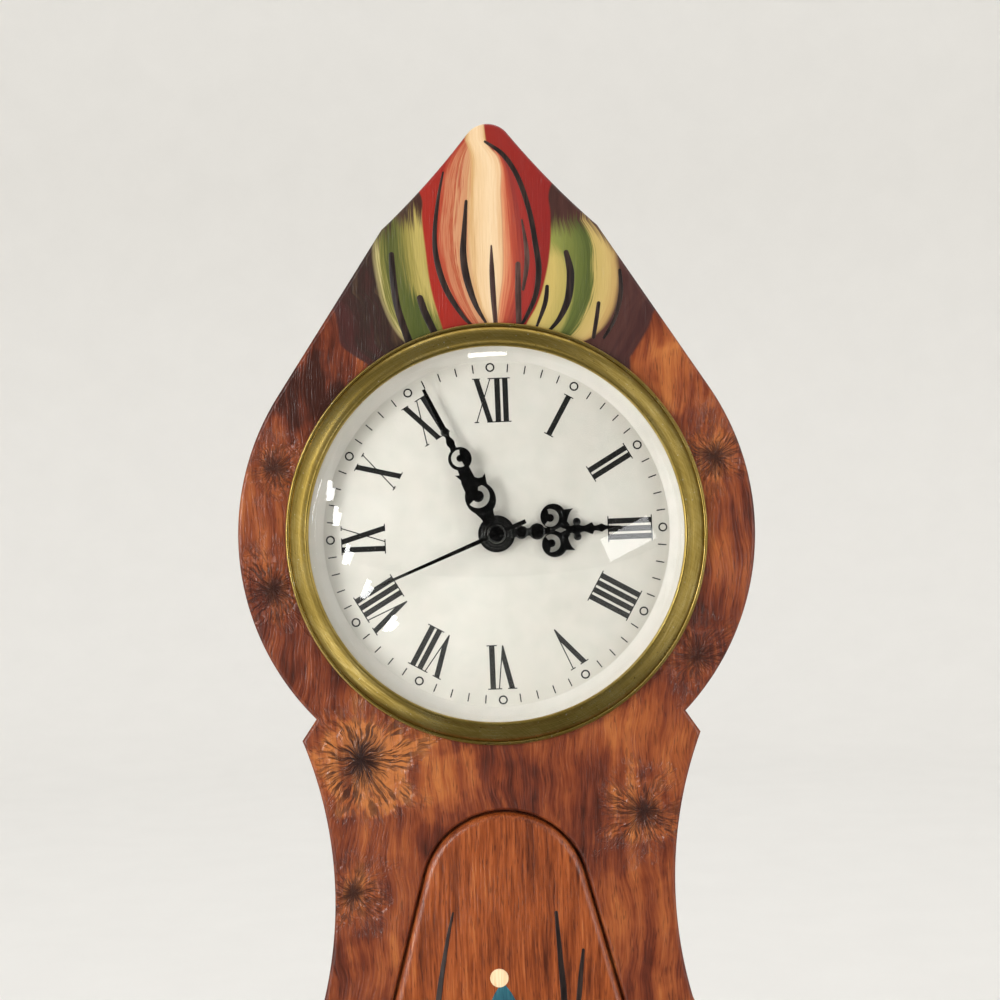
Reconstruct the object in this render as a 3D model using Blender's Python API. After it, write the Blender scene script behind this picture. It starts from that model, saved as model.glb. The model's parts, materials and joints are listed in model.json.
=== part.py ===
# Mora table clock with a battery movement, as an assembly of separate pieces.
# The front faces -Y, +Z is up and the origin is the middle of the underside. Sizes are in metres.

import math

import bmesh
import bpy
from mathutils import Matrix, Vector

MM = 0.001

# Fits that every piece shares
FIT = 0.3 * MM
BEARING = 0.12 * MM
OVERLAP = 0.5 * MM

# Wooden case
TOTAL_HEIGHT = 318.0 * MM
PLINTH_WIDTH = 124.0 * MM
PLINTH_DEPTH = 78.0 * MM
PLINTH_HEIGHT = 20.0 * MM
PLINTH_ROUND = 5.0 * MM
CASE_DEPTH = 56.0 * MM
FRONT_THICK = 9.0 * MM
BACK_THICK = 4.0 * MM
WALL_THICK = 5.0 * MM
EDGE_ROUND = 1.8 * MM

# Front outline, heights measured below the tip or the dial centre
DIAL_BELOW_TIP = 97.4 * MM
APEX_RADIUS = 6.0 * MM
APEX_ANGLE = math.radians(38.5)
CREST_HALF_WIDTH = 25.6 * MM
CREST_BELOW_TIP = 24.6 * MM
HEAD_RADIUS = 61.4 * MM
NOTCH_BELOW_DIAL = 43.0 * MM
EAR_BELOW_DIAL = 48.1 * MM
WAIST_BELOW_DIAL = 84.6 * MM
WAIST_HALF_WIDTH = 40.4 * MM
WAIST_RADIUS = 100.0 * MM
BELLY_HALF_WIDTH = 58.0 * MM
BELLY_RADIUS = 90.6 * MM

# Raised waist panel, the hull of a small and a large circle
PANEL_TOP_RADIUS = 19.5 * MM
PANEL_TOP_BELOW_DIAL = 85.6 * MM
PANEL_FOOT_RADIUS = 37.0 * MM
PANEL_FOOT_BELOW_DIAL = 152.9 * MM
PANEL_THICK = 5.0 * MM
PANEL_POCKET = 3.0 * MM
PANEL_ROUND = 1.6 * MM

# Back opening, fixings and foot
ACCESS_RADIUS = 44.0 * MM
SCREW_RADIUS = 1.1 * MM
SCREW_HEAD_RADIUS = 2.3 * MM
SCREW_HEAD_HEIGHT = 1.3 * MM
BACK_SCREW_BITE = 9.0 * MM
FOOT_BLOCK = 13.0 * MM
PLINTH_SCREW_BITE = 8.0 * MM

# Dial insert
BEZEL_RADIUS = 50.0 * MM
BEZEL_RISE = 4.6 * MM
BEZEL_RIM_RISE = 2.8 * MM
BEZEL_OPENING = 43.6 * MM
LIP_THICK = 1.4 * MM
SKIRT_THICK = 0.7 * MM
SKIRT_DEPTH = 5.0 * MM
GLASS_RADIUS = 45.3 * MM
GLASS_THICK = 1.5 * MM
GLASS_DOME = 6.5 * MM
PAN_DEPTH = 4.7 * MM
PAN_THICK = 1.2 * MM
PAN_FLOOR_RADIUS = 41.4 * MM
DIAL_THICK = 0.5 * MM
GRIP_THICK = 1.2 * MM
GRIP_HEIGHT = 3.6 * MM

# Hands, heights measured in front of the dial face
HOUR_HAND_GAP = 1.2 * MM
HAND_STEP = 1.7 * MM
HAND_THICK = 0.5 * MM
HOUR_HAND_ANGLE = math.radians(88.0)
MINUTE_HAND_ANGLE = math.radians(334.5)
SECOND_HAND_ANGLE = math.radians(247.5)
SECOND_CAP_RADIUS = 2.25 * MM
SECOND_CAP_RISE = 1.0 * MM

# Movement housing
HOUSING_SIZE = 58.0 * MM
HOUSING_WALL = 1.6 * MM
HOUSING_STEP = 0.4 * MM
HOUSING_CORNER = 4.0 * MM
HOUSING_FLOOR = 2.0 * MM
HOUSING_SPLIT = 8.0 * MM
HOUSING_DEPTH = 17.0 * MM
COVER_THICK = 1.2 * MM
LUG_REACH = 7.0 * MM
LUG_WIDTH = 8.0 * MM
LUG_RISE = 8.0 * MM

# Battery and contacts
BATTERY_RADIUS = 7.1 * MM
BATTERY_LENGTH = 50.5 * MM
BATTERY_NUB_RADIUS = 2.7 * MM
BATTERY_NUB = 1.3 * MM
BATTERY_BELOW_DIAL = 19.2 * MM
CONTACT_THICK = 0.6 * MM
CONTACT_HEIGHT = 11.0 * MM
BULKHEAD = 1.2 * MM

# Gear train, teeth and modules
MOTION_MODULE = 0.47 * MM
CANNON_TEETH = 10
MOTION_TEETH = 30
MOTION_PINION_TEETH = 8
HOUR_TEETH = 32
SECOND_MODULE = 0.36 * MM
SECOND_PINION_TEETH = 6
THIRD_TEETH = 45
THIRD_PINION_TEETH = 6
CENTRE_TEETH = 48
ROTOR_MODULE = 0.34 * MM
SECOND_TEETH = 48
INTERMEDIATE_PINION_TEETH = 8
INTERMEDIATE_TEETH = 40
ROTOR_TEETH = 8
MOTION_ANGLE = math.radians(150.0)
THIRD_ANGLE = math.radians(30.0)
INTERMEDIATE_ANGLE = math.radians(97.0)
ROTOR_ANGLE = math.radians(60.0)
WHEEL_THICK = 0.8 * MM
LAYER_STEP = 1.3 * MM
ARBOR_RADIUS = 0.5 * MM
MOTION_ARBOR_RADIUS = 0.6 * MM
MINUTE_TUBE_RADIUS = 1.5 * MM
HOUR_TUBE_RADIUS = 2.4 * MM
MAGNET_RADIUS = 3.0 * MM
MAGNET_THICK = 2.0 * MM
STATOR_THICK = 1.0 * MM
STATOR_BAR = 3.0 * MM
COIL_RADIUS = 3.6 * MM
COIL_OFFSET = 20.0 * MM
TRAIN_PLATE_THICK = 0.8 * MM
PILLAR_RADIUS = 1.2 * MM
KNOB_RADIUS = 6.5 * MM
KNOB_HEIGHT = 6.0 * MM
KNOB_FLUTES = 18

# Places that follow from the sizes above
FRONT_Y = -CASE_DEPTH / 2
BACK_Y = CASE_DEPTH / 2
WALL_FRONT_Y = FRONT_Y + FRONT_THICK + FIT
WALL_BACK_Y = BACK_Y - BACK_THICK - FIT
DIAL_Z = TOTAL_HEIGHT - DIAL_BELOW_TIP
CASE_FOOT_Z = PLINTH_HEIGHT + FIT
SKIRT_RADIUS = GLASS_RADIUS + FIT + SKIRT_THICK
GRIP_INNER = SKIRT_RADIUS + FIT
INSERT_HOLE = GRIP_INNER + GRIP_THICK + FIT
GLASS_TOP = BEZEL_RISE - LIP_THICK - FIT
PAN_RIM = GLASS_TOP - GLASS_THICK - FIT
PAN_FLOOR = PAN_RIM - PAN_DEPTH
DIAL_FACE = PAN_FLOOR + FIT + DIAL_THICK
HOUR_HAND_BASE = DIAL_FACE + HOUR_HAND_GAP
MINUTE_HAND_BASE = HOUR_HAND_BASE + HAND_STEP
SECOND_HAND_BASE = MINUTE_HAND_BASE + HAND_STEP
MOVEMENT_Y = FRONT_Y - PAN_FLOOR + PAN_THICK + FIT
BATTERY_DEPTH = HOUSING_FLOOR + FIT + BATTERY_RADIUS


def front(height):
    """Y of a point that stands a height in front of the case face."""
    return FRONT_Y - height


def depth(distance):
    """Y of a point that lies a distance behind the front of the movement."""
    return MOVEMENT_Y + distance


# Layers of the train, counted backward from the housing floor
def layer(index):
    """Front and back Y of a wheel layer."""
    start = HOUSING_FLOOR + 0.4 * MM + index * LAYER_STEP
    return depth(start), depth(start + WHEEL_THICK)


TRAIN_PLATE_FRONT = HOUSING_FLOOR + 10.8 * MM


def polar(radius, angle, centre=(0.0, 0.0)):
    """Point at a radius and an angle around a centre in the XZ plane."""
    return centre[0] + radius * math.cos(angle), centre[1] + radius * math.sin(angle)


DIAL_CENTRE = (0.0, DIAL_Z)
THIRD_DISTANCE = SECOND_MODULE * (SECOND_PINION_TEETH + THIRD_TEETH) / 2
CENTRE_MODULE = 2 * THIRD_DISTANCE / (THIRD_PINION_TEETH + CENTRE_TEETH)
MOTION_DISTANCE = MOTION_MODULE * (CANNON_TEETH + MOTION_TEETH) / 2
HOUR_MODULE = 2 * MOTION_DISTANCE / (MOTION_PINION_TEETH + HOUR_TEETH)
INTERMEDIATE_DISTANCE = ROTOR_MODULE * (SECOND_TEETH + INTERMEDIATE_PINION_TEETH) / 2
ROTOR_DISTANCE = ROTOR_MODULE * (INTERMEDIATE_TEETH + ROTOR_TEETH) / 2
MOTION_CENTRE = polar(MOTION_DISTANCE, MOTION_ANGLE, DIAL_CENTRE)
THIRD_CENTRE = polar(THIRD_DISTANCE, THIRD_ANGLE, DIAL_CENTRE)
INTERMEDIATE_CENTRE = polar(INTERMEDIATE_DISTANCE, INTERMEDIATE_ANGLE, DIAL_CENTRE)
ROTOR_CENTRE = polar(ROTOR_DISTANCE, ROTOR_ANGLE, INTERMEDIATE_CENTRE)


# Outline helpers
def arc(centre, radius, start, end, steps):
    """Points on a circle from a start to an end angle, both included."""
    return [polar(radius, start + (end - start) * i / steps, centre) for i in range(steps + 1)]


def circle(centre, radius, steps):
    """Closed loop of points on a full circle."""
    return [polar(radius, 2 * math.pi * i / steps, centre) for i in range(steps)]


def rounded_box(left, right, low, high, radius, steps=3):
    """Closed loop of a rectangle with rounded corners."""
    corners = ((right, high, 0), (left, high, 1), (left, low, 2), (right, low, 3))
    points = []
    for x, z, quarter in corners:
        centre_x = x - radius if x == right else x + radius
        centre_z = z - radius if z == high else z + radius
        start = quarter * math.pi / 2
        points += arc((centre_x, centre_z), radius, start, start + math.pi / 2, steps)
    return points


def box_loop(left, right, low, high):
    """Closed loop of a plain rectangle."""
    return [(left, low), (right, low), (right, high), (left, high)]


def mirrored(points):
    """The same points on the other side of the centre line."""
    return [(-x, z) for x, z in points]


def offset_path(points, distance):
    """Open path moved to its right-hand side by a distance, with mitred corners."""
    normals = []
    for first, second in zip(points, points[1:]):
        run = Vector(second) - Vector(first)
        normals.append(Vector((run.y, -run.x)).normalized())
    moved = []
    for index, point in enumerate(points):
        before = normals[max(index - 1, 0)]
        after = normals[min(index, len(normals) - 1)]
        mitre = (before + after).normalized()
        moved.append(tuple(Vector(point) + mitre * (distance / mitre.dot(after))))
    return moved


def crest_flank():
    """Right flank of the crest from the tip to its outer corner, a little hollow."""
    apex = (0.0, TOTAL_HEIGHT - APEX_RADIUS)
    points = arc(apex, APEX_RADIUS, math.pi / 2, APEX_ANGLE, 4)
    start = Vector(points[-1])
    corner = Vector((CREST_HALF_WIDTH, TOTAL_HEIGHT - CREST_BELOW_TIP))
    along = Vector((math.sin(APEX_ANGLE), -math.cos(APEX_ANGLE)))
    middle = start + along * ((corner - start).length / 2)
    steps = 5
    for i in range(1, steps + 1):
        t = i / steps
        points.append(tuple(start * (1 - t) ** 2 + middle * (2 * t * (1 - t)) + corner * t ** 2))
    return points


def head_flank():
    """Right flank from the crest corner down the round head to the notch."""
    corner = (CREST_HALF_WIDTH, TOTAL_HEIGHT - CREST_BELOW_TIP)
    reach = math.hypot(corner[0], corner[1] - DIAL_Z)
    heading = math.atan2(corner[1] - DIAL_Z, corner[0])
    touch = heading - math.acos(HEAD_RADIUS / reach)
    notch = -math.asin(NOTCH_BELOW_DIAL / HEAD_RADIUS)
    return [corner] + arc(DIAL_CENTRE, HEAD_RADIUS, touch, notch, 14)


def waist_flank():
    """Right flank from the shoulder ear through the waist and the belly to the foot."""
    waist = (WAIST_HALF_WIDTH + WAIST_RADIUS, DIAL_Z - WAIST_BELOW_DIAL)
    belly_x = BELLY_HALF_WIDTH - BELLY_RADIUS
    centres = WAIST_RADIUS + BELLY_RADIUS
    drop = math.sqrt(centres ** 2 - (waist[0] - belly_x) ** 2)
    belly = (belly_x, waist[1] - drop)
    ear = math.pi - math.asin((WAIST_BELOW_DIAL - EAR_BELOW_DIAL) / WAIST_RADIUS)
    meet = math.pi + math.atan2(drop, waist[0] - belly_x)
    foot = math.asin((CASE_FOOT_Z - belly[1]) / BELLY_RADIUS)
    points = arc(waist, WAIST_RADIUS, ear, meet, 9)
    return points + arc(belly, BELLY_RADIUS, meet - math.pi, foot, 9)[1:]


def case_outline():
    """Closed outline of the front and the back board."""
    right = crest_flank() + head_flank()[1:] + waist_flank()
    return right + mirrored(right[1:])[::-1]


def panel_outline(grow=0.0, steps=14):
    """Closed pear outline of the waist panel, grown by a clearance."""
    top = (0.0, DIAL_Z - PANEL_TOP_BELOW_DIAL)
    foot = (0.0, DIAL_Z - PANEL_FOOT_BELOW_DIAL)
    tilt = math.asin((PANEL_FOOT_RADIUS - PANEL_TOP_RADIUS) / (top[1] - foot[1]))
    upper = arc(top, PANEL_TOP_RADIUS + grow, tilt, math.pi - tilt, steps)
    lower = arc(foot, PANEL_FOOT_RADIUS + grow, math.pi - tilt, 2 * math.pi + tilt, steps + 6)
    return upper + lower


# Solid helpers
def clear_scene():
    """Remove everything the file started with."""
    for item in list(bpy.data.objects):
        bpy.data.objects.remove(item, do_unlink=True)


MATERIALS = {}


def add_material(name, colour, roughness, metallic=0.0):
    """Principled material kept by its name."""
    material = bpy.data.materials.new(name)
    material.use_nodes = True
    shader = material.node_tree.nodes["Principled BSDF"]
    shader.inputs["Base Color"].default_value = (*colour, 1.0)
    shader.inputs["Roughness"].default_value = roughness
    shader.inputs["Metallic"].default_value = metallic
    material.diffuse_color = (*colour, 1.0)
    MATERIALS[name] = material


def plate(loops, y_front, y_back):
    """Flat plate in the XZ plane: the first loop is the outline, later loops are holes."""
    bm = bmesh.new()
    edges = []
    for loop in loops:
        verts = [bm.verts.new((x, y_front, z)) for x, z in loop]
        edges += [bm.edges.new((verts[i - 1], verts[i])) for i in range(len(verts))]
    if len(loops) == 1:
        bm.faces.new(verts)
    else:
        bmesh.ops.triangle_fill(bm, use_beauty=True, edges=edges, normal=(0.0, -1.0, 0.0))
    grown = bmesh.ops.extrude_face_region(bm, geom=bm.faces[:])
    moved = [item for item in grown["geom"] if isinstance(item, bmesh.types.BMVert)]
    bmesh.ops.translate(bm, verts=moved, vec=(0.0, y_back - y_front, 0.0))
    bmesh.ops.recalc_face_normals(bm, faces=bm.faces[:])
    return bm


def turned(profile, steps, centre=DIAL_CENTRE, closed=True):
    """Solid of revolution about a Y axis, from (radius, y) points."""
    bm = bmesh.new()
    verts = [bm.verts.new((radius, y, 0.0)) for radius, y in profile]
    edges = [bm.edges.new(pair) for pair in zip(verts, verts[1:])]
    if closed:
        edges.append(bm.edges.new((verts[-1], verts[0])))
    bmesh.ops.spin(
        bm, geom=verts + edges, cent=(0.0, 0.0, 0.0), axis=(0.0, 1.0, 0.0),
        angle=2 * math.pi, steps=steps, use_merge=True,
    )
    bmesh.ops.remove_doubles(bm, verts=bm.verts[:], dist=1e-7)
    bmesh.ops.dissolve_degenerate(bm, edges=bm.edges[:], dist=1e-7)
    bmesh.ops.recalc_face_normals(bm, faces=bm.faces[:])
    bmesh.ops.translate(bm, verts=bm.verts[:], vec=(centre[0], 0.0, centre[1]))
    return bm


def rod(radius, y_front, y_back, centre=DIAL_CENTRE, steps=16):
    """Round bar along Y."""
    bm = bmesh.new()
    bmesh.ops.create_cone(
        bm, cap_ends=True, segments=steps, radius1=radius, radius2=radius, depth=y_back - y_front,
        matrix=Matrix.Translation((centre[0], (y_front + y_back) / 2, centre[1]))
        @ Matrix.Rotation(math.pi / 2, 4, "X"),
    )
    return bm


def block(left, right, y_front, y_back, low, high):
    """Plain box between six planes."""
    return plate([box_loop(left, right, low, high)], y_front, y_back)


def temporary(bm):
    """Short-lived object that holds one solid."""
    mesh = bpy.data.meshes.new("solid")
    bm.to_mesh(mesh)
    bm.free()
    item = bpy.data.objects.new("solid", mesh)
    bpy.context.scene.collection.objects.link(item)
    return item


def combine(target, tool, operation):
    """Join a tool into a target or cut it out of the target, and drop the tool."""
    modifier = target.modifiers.new(operation, "BOOLEAN")
    modifier.operation = operation
    modifier.solver = "EXACT"
    modifier.object = tool
    graph = bpy.context.evaluated_depsgraph_get()
    mesh = bpy.data.meshes.new_from_object(target.evaluated_get(graph))
    target.modifiers.clear()
    target.data = mesh
    bpy.data.objects.remove(tool, do_unlink=True)


def piece(name, material, solids, cutters=(), origin=(0.0, 0.0, 0.0), smooth=True):
    """One named sub-part: solids are joined, cutters are taken away, the origin is set."""
    target = temporary(solids[0])
    for solid in solids[1:]:
        combine(target, temporary(solid), "UNION")
    for cutter in cutters:
        combine(target, temporary(cutter), "DIFFERENCE")
    target.name = name
    mesh = target.data
    mesh.name = name
    mesh.transform(Matrix.Translation(-Vector(origin)))
    target.location = origin
    mesh.materials.clear()
    mesh.materials.append(MATERIALS[material])
    if smooth:
        mesh.shade_smooth()
        mesh.set_sharp_from_angle(angle=math.radians(32.0))
    return target


def on_axis(centre):
    """Origin on a turning axis that runs along Y."""
    return centre[0], 0.0, centre[1]


# Gear helpers
def gear_loop(teeth, module, centre, phase, pinion):
    """Closed outline of a toothed wheel: straight flanks on a wheel, bent ones on a pinion."""
    pitch_radius = module * teeth / 2
    half = math.pi / (2 * teeth)
    if pinion:
        tip, root = pitch_radius + 0.75 * module, pitch_radius - 1.25 * module
        shares = ((root, -0.74), (pitch_radius, -0.82), (tip, -0.37), (tip, 0.37), (pitch_radius, 0.82), (root, 0.74))
    else:
        tip, root = pitch_radius + 0.80 * module, pitch_radius - 1.10 * module
        shares = ((root, -1.14), (tip, -0.42), (tip, 0.42), (root, 1.14))
    flank = [(radius, half * share) for radius, share in shares]
    points = []
    for tooth in range(teeth):
        middle = phase + 2 * math.pi * tooth / teeth
        points += [polar(radius, middle + turn, centre) for radius, turn in flank]
    return points


def mesh_phase(teeth, heading, driver_teeth, driver_phase):
    """Phase of a wheel that meshes with a driver, heading runs from the driver to the wheel."""
    share = (heading - driver_phase) * driver_teeth / (2 * math.pi)
    return heading + math.pi - (0.5 - share) * 2 * math.pi / teeth


def outer_radius(teeth, module):
    """Radius over the tooth tips of a wheel."""
    return module * (teeth / 2 + 0.8)


def gear(teeth, module, centre, phase, span, pinion=False):
    """Toothed plate between two Y planes, a pinion is a little thicker than its wheel."""
    extra = 0.1 * MM if pinion else 0.0
    return plate([gear_loop(teeth, module, centre, phase, pinion)], span[0] - extra, span[1] + extra)


# Case
def wall(path, name):
    """Bent wall along an outer path, as thick as the wall material, on one side of the case."""
    inner = offset_path(path, WALL_THICK)
    floor_z = CASE_FOOT_Z
    inner = [(x, max(z, floor_z)) for x, z in inner]
    return path + inner[::-1]


def screw_spots():
    """Centres of the back screws: two on the head walls, two on the belly walls."""
    middle = HEAD_RADIUS - WALL_THICK / 2
    head = polar(middle, math.radians(20.0), DIAL_CENTRE)
    waist_z = DIAL_Z - WAIST_BELOW_DIAL
    inside = WAIST_HALF_WIDTH - WALL_THICK / 2
    return head, (inside, waist_z)


def build_case():
    """Front and back boards, bent walls, crest block, foot and plinth."""
    outline = case_outline()
    front_solid = plate([outline, circle(DIAL_CENTRE, INSERT_HOLE, 64)], FRONT_Y, FRONT_Y + FRONT_THICK)
    ease_front_edge(front_solid)
    pocket = plate([panel_outline(FIT)], FRONT_Y - OVERLAP, FRONT_Y + PANEL_POCKET)
    piece("front_board", "painted_wood", [front_solid], [pocket], smooth=False)

    panel_back = FRONT_Y + PANEL_POCKET - FIT
    panel = plate([panel_outline()], panel_back - PANEL_THICK, panel_back)
    round_rim(panel, panel_back - PANEL_THICK, PANEL_ROUND)
    piece("waist_panel", "panel_wood", [panel])

    head_spot, waist_spot = screw_spots()
    head = head_flank()
    first = Vector(head[0])
    second = Vector(head[1])
    head_path = [tuple(first + (second - first).normalized() * FIT)] + head[1:]
    corner_inner = offset_path(head[:2], WALL_THICK)[0]
    waist = [head[-1]] + waist_flank()
    notch = Vector(waist[0])
    ear = Vector(waist[1])
    waist_path = [tuple(notch + (ear - notch).normalized() * FIT)] + waist[1:]
    bite = WALL_BACK_Y - BACK_SCREW_BITE - FIT
    hole = SCREW_RADIUS + BEARING
    for side, flip in (("right", False), ("left", True)):
        for label, path, spot in (("head", head_path, head_spot), ("waist", waist_path, waist_spot)):
            loop = wall(path, label)
            place = (-spot[0], spot[1]) if flip else spot
            loop = mirrored(loop) if flip else loop
            solid = plate([loop], WALL_FRONT_Y, WALL_BACK_Y)
            pilot = rod(hole, bite, WALL_BACK_Y + OVERLAP, place, 10)
            piece(f"{label}_side_{side}", "painted_wood", [solid], [pilot])

    crest = crest_flank()
    crest_loop = crest + [corner_inner] + mirrored([corner_inner]) + mirrored(crest[1:])[::-1]
    piece("crest_block", "painted_wood", [plate([crest_loop], WALL_FRONT_Y, WALL_BACK_Y)])

    spots = [head_spot, waist_spot] + mirrored([head_spot, waist_spot])
    loops = [outline, circle(DIAL_CENTRE, ACCESS_RADIUS, 40)]
    loops += [circle(spot, hole, 10) for spot in spots]
    piece("back_board", "back_wood", [plate(loops, BACK_Y - BACK_THICK, BACK_Y)], smooth=False)
    for number, spot in enumerate(spots, 1):
        shank_tip = bite + FIT
        profile = [
            (0.0, shank_tip), (SCREW_RADIUS * 0.4, shank_tip), (SCREW_RADIUS, shank_tip + 2 * MM),
            (SCREW_RADIUS, BACK_Y + FIT), (SCREW_HEAD_RADIUS, BACK_Y + FIT),
            (SCREW_HEAD_RADIUS * 0.6, BACK_Y + FIT + SCREW_HEAD_HEIGHT),
            (0.0, BACK_Y + FIT + SCREW_HEAD_HEIGHT),
        ]
        piece(f"back_screw_{number}", "steel", [turned(profile, 8, spot, closed=False)])
    build_foot()


def ease_front_edge(bm):
    """Round the outer front edge of the front board."""
    rim = []
    for edge in bm.edges:
        on_front = all(abs(vert.co.y - FRONT_Y) < 1e-6 for vert in edge.verts)
        far = all((vert.co - Vector((0.0, FRONT_Y, DIAL_Z))).length > INSERT_HOLE + 1e-4 for vert in edge.verts)
        turns = edge.calc_face_angle(0.0) > math.radians(60.0)
        if on_front and far and turns:
            rim.append(edge)
    bmesh.ops.bevel(
        bm, geom=rim, offset=EDGE_ROUND, segments=2, profile=0.5, affect="EDGES", material=-1,
    )


def round_rim(bm, y, radius):
    """Round the rim of a plate on the side that lies in one Y plane."""
    rim = [
        edge for edge in bm.edges
        if all(abs(vert.co.y - y) < 1e-6 for vert in edge.verts)
        and edge.calc_face_angle(0.0) > math.radians(60.0)
    ]
    bmesh.ops.bevel(bm, geom=rim, offset=radius, segments=2, profile=0.5, affect="EDGES", material=-1)


def build_foot():
    """Plinth, glue blocks in the foot and the screws that hold them together."""
    half_width = PLINTH_WIDTH / 2
    half_depth = PLINTH_DEPTH / 2
    base = block(-half_width, half_width, -half_depth, half_depth, 0.0, PLINTH_HEIGHT)
    top_edges = [
        edge for edge in base.edges
        if all(abs(vert.co.z - PLINTH_HEIGHT) < 1e-6 for vert in edge.verts)
        and edge.calc_face_angle(0.0) > math.radians(60.0)
    ]
    bmesh.ops.bevel(
        base, geom=top_edges, offset=PLINTH_ROUND, segments=3, profile=0.5, affect="EDGES", material=-1,
    )
    foot = waist_flank()[-1]
    block_right = foot[0] - WALL_THICK - 3 * MM
    block_left = block_right - FOOT_BLOCK
    spot_x = (block_left + block_right) / 2
    spot_y = (WALL_FRONT_Y + WALL_BACK_Y) / 2
    head_seat = SCREW_HEAD_HEIGHT + 2 * MM
    cutters = []
    for x in (spot_x, -spot_x):
        cutters.append(upright_rod(SCREW_RADIUS + BEARING, -OVERLAP, PLINTH_HEIGHT + OVERLAP, x, spot_y))
        cutters.append(upright_rod(SCREW_HEAD_RADIUS + FIT, -OVERLAP, head_seat, x, spot_y))
    piece("plinth", "plinth_wood", [base], cutters, smooth=False)
    tip = CASE_FOOT_Z + PLINTH_SCREW_BITE
    for side, sign in (("right", 1), ("left", -1)):
        edges = sorted((sign * block_left, sign * block_right))
        solid = block(edges[0], edges[1], WALL_FRONT_Y, WALL_BACK_Y, CASE_FOOT_Z, CASE_FOOT_Z + FOOT_BLOCK)
        pilot = upright_rod(SCREW_RADIUS + BEARING, CASE_FOOT_Z - OVERLAP, tip + FIT, sign * spot_x, spot_y)
        piece(f"foot_block_{side}", "back_wood", [solid], [pilot], smooth=False)
        head = upright_rod(SCREW_HEAD_RADIUS, 2 * MM - FIT, head_seat - FIT, sign * spot_x, spot_y)
        shank = upright_rod(SCREW_RADIUS, head_seat - FIT - OVERLAP, tip, sign * spot_x, spot_y)
        piece(f"plinth_screw_{side}", "steel", [head, shank])


def upright_rod(radius, low, high, x, y, steps=12):
    """Round bar along Z."""
    bm = bmesh.new()
    bmesh.ops.create_cone(
        bm, cap_ends=True, segments=steps, radius1=radius, radius2=radius, depth=high - low,
        matrix=Matrix.Translation((x, y, (low + high) / 2)),
    )
    return bm


# Dial insert
def lug_spots():
    """Centres of the two screws that hold the movement to the dial pan."""
    reach = HOUSING_SIZE / 2 + LUG_REACH / 2
    return (reach, DIAL_Z + LUG_RISE), (-reach, DIAL_Z + LUG_RISE)


def build_insert():
    """Bezel, dome glass, pan, dial and the ring that grips the board."""
    skirt_inner = GLASS_RADIUS + FIT
    lip_under = BEZEL_RISE - LIP_THICK
    bezel_profile = [
        (BEZEL_RADIUS, FIT), (BEZEL_RADIUS, BEZEL_RIM_RISE - 1.2 * MM),
        (BEZEL_RADIUS - 0.4 * MM, BEZEL_RIM_RISE - 0.3 * MM), (BEZEL_RADIUS - 1.2 * MM, BEZEL_RIM_RISE),
        (BEZEL_OPENING + 1.3 * MM, BEZEL_RISE - 0.1 * MM), (BEZEL_OPENING + 0.6 * MM, BEZEL_RISE),
        (BEZEL_OPENING, BEZEL_RISE - 0.5 * MM), (BEZEL_OPENING, lip_under), (skirt_inner, lip_under),
        (skirt_inner, -SKIRT_DEPTH), (SKIRT_RADIUS, -SKIRT_DEPTH), (SKIRT_RADIUS, FIT),
    ]
    piece("bezel", "brass", [turned([(r, front(h)) for r, h in bezel_profile], 52)])

    edge = BEZEL_OPENING - 0.6 * MM
    ball = (edge ** 2 + GLASS_DOME ** 2) / (2 * GLASS_DOME)
    dome = []
    under = []
    rings = 4
    for i in range(rings + 1):
        radius = edge * i / rings
        sag = ball - math.sqrt(ball ** 2 - radius ** 2)
        dome.append((radius, front(GLASS_TOP + GLASS_DOME - sag)))
        under.append((radius, front(GLASS_TOP + GLASS_DOME - sag - GLASS_THICK)))
    rim = [(GLASS_RADIUS, front(GLASS_TOP)), (GLASS_RADIUS, front(GLASS_TOP - GLASS_THICK))]
    piece("dome_glass", "clear_glass", [turned(dome + rim + under[::-1], 40, closed=False)])

    hub_hole = HOUR_TUBE_RADIUS + 1.6 * MM
    pan_profile = [
        (hub_hole, PAN_FLOOR), (PAN_FLOOR_RADIUS, PAN_FLOOR), (GLASS_RADIUS - 0.9 * MM, PAN_RIM),
        (GLASS_RADIUS, PAN_RIM), (GLASS_RADIUS, PAN_RIM - 2 * MM),
        (PAN_FLOOR_RADIUS + PAN_THICK, PAN_FLOOR - PAN_THICK), (hub_hole, PAN_FLOOR - PAN_THICK),
    ]
    screw_hole = SCREW_RADIUS + BEARING
    holes = [
        rod(screw_hole, front(PAN_FLOOR + OVERLAP), front(PAN_FLOOR - PAN_THICK - OVERLAP), spot, 10)
        for spot in lug_spots()
    ]
    piece("dial_pan", "pan_enamel", [turned([(r, front(h)) for r, h in pan_profile], 40)], holes)

    dial_hole = HOUR_TUBE_RADIUS + 1.0 * MM
    dial_profile = [
        (dial_hole, DIAL_FACE), (PAN_FLOOR_RADIUS - FIT, DIAL_FACE),
        (PAN_FLOOR_RADIUS - FIT, DIAL_FACE - DIAL_THICK), (dial_hole, DIAL_FACE - DIAL_THICK),
    ]
    piece("dial", "dial_enamel", [turned([(r, front(h)) for r, h in dial_profile], 40)])

    grip_top = -0.8 * MM
    grip_profile = [
        (GRIP_INNER, grip_top), (GRIP_INNER + GRIP_THICK, grip_top),
        (GRIP_INNER + GRIP_THICK, grip_top - GRIP_HEIGHT), (GRIP_INNER, grip_top - GRIP_HEIGHT),
    ]
    piece("grip_ring", "rubber", [turned([(r, front(h)) for r, h in grip_profile], 32)])


# Hands, drawn upright in millimetres as (along, half width) and then turned
def hand_plate(points, base, tier):
    """Flat hand shape around the dial centre, raised by its tier."""
    rise = tier * 0.06 * MM
    loop = [(x * MM, DIAL_Z + z * MM) for x, z in points]
    return plate([loop], front(base + HAND_THICK + rise), front(base - rise))


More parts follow.
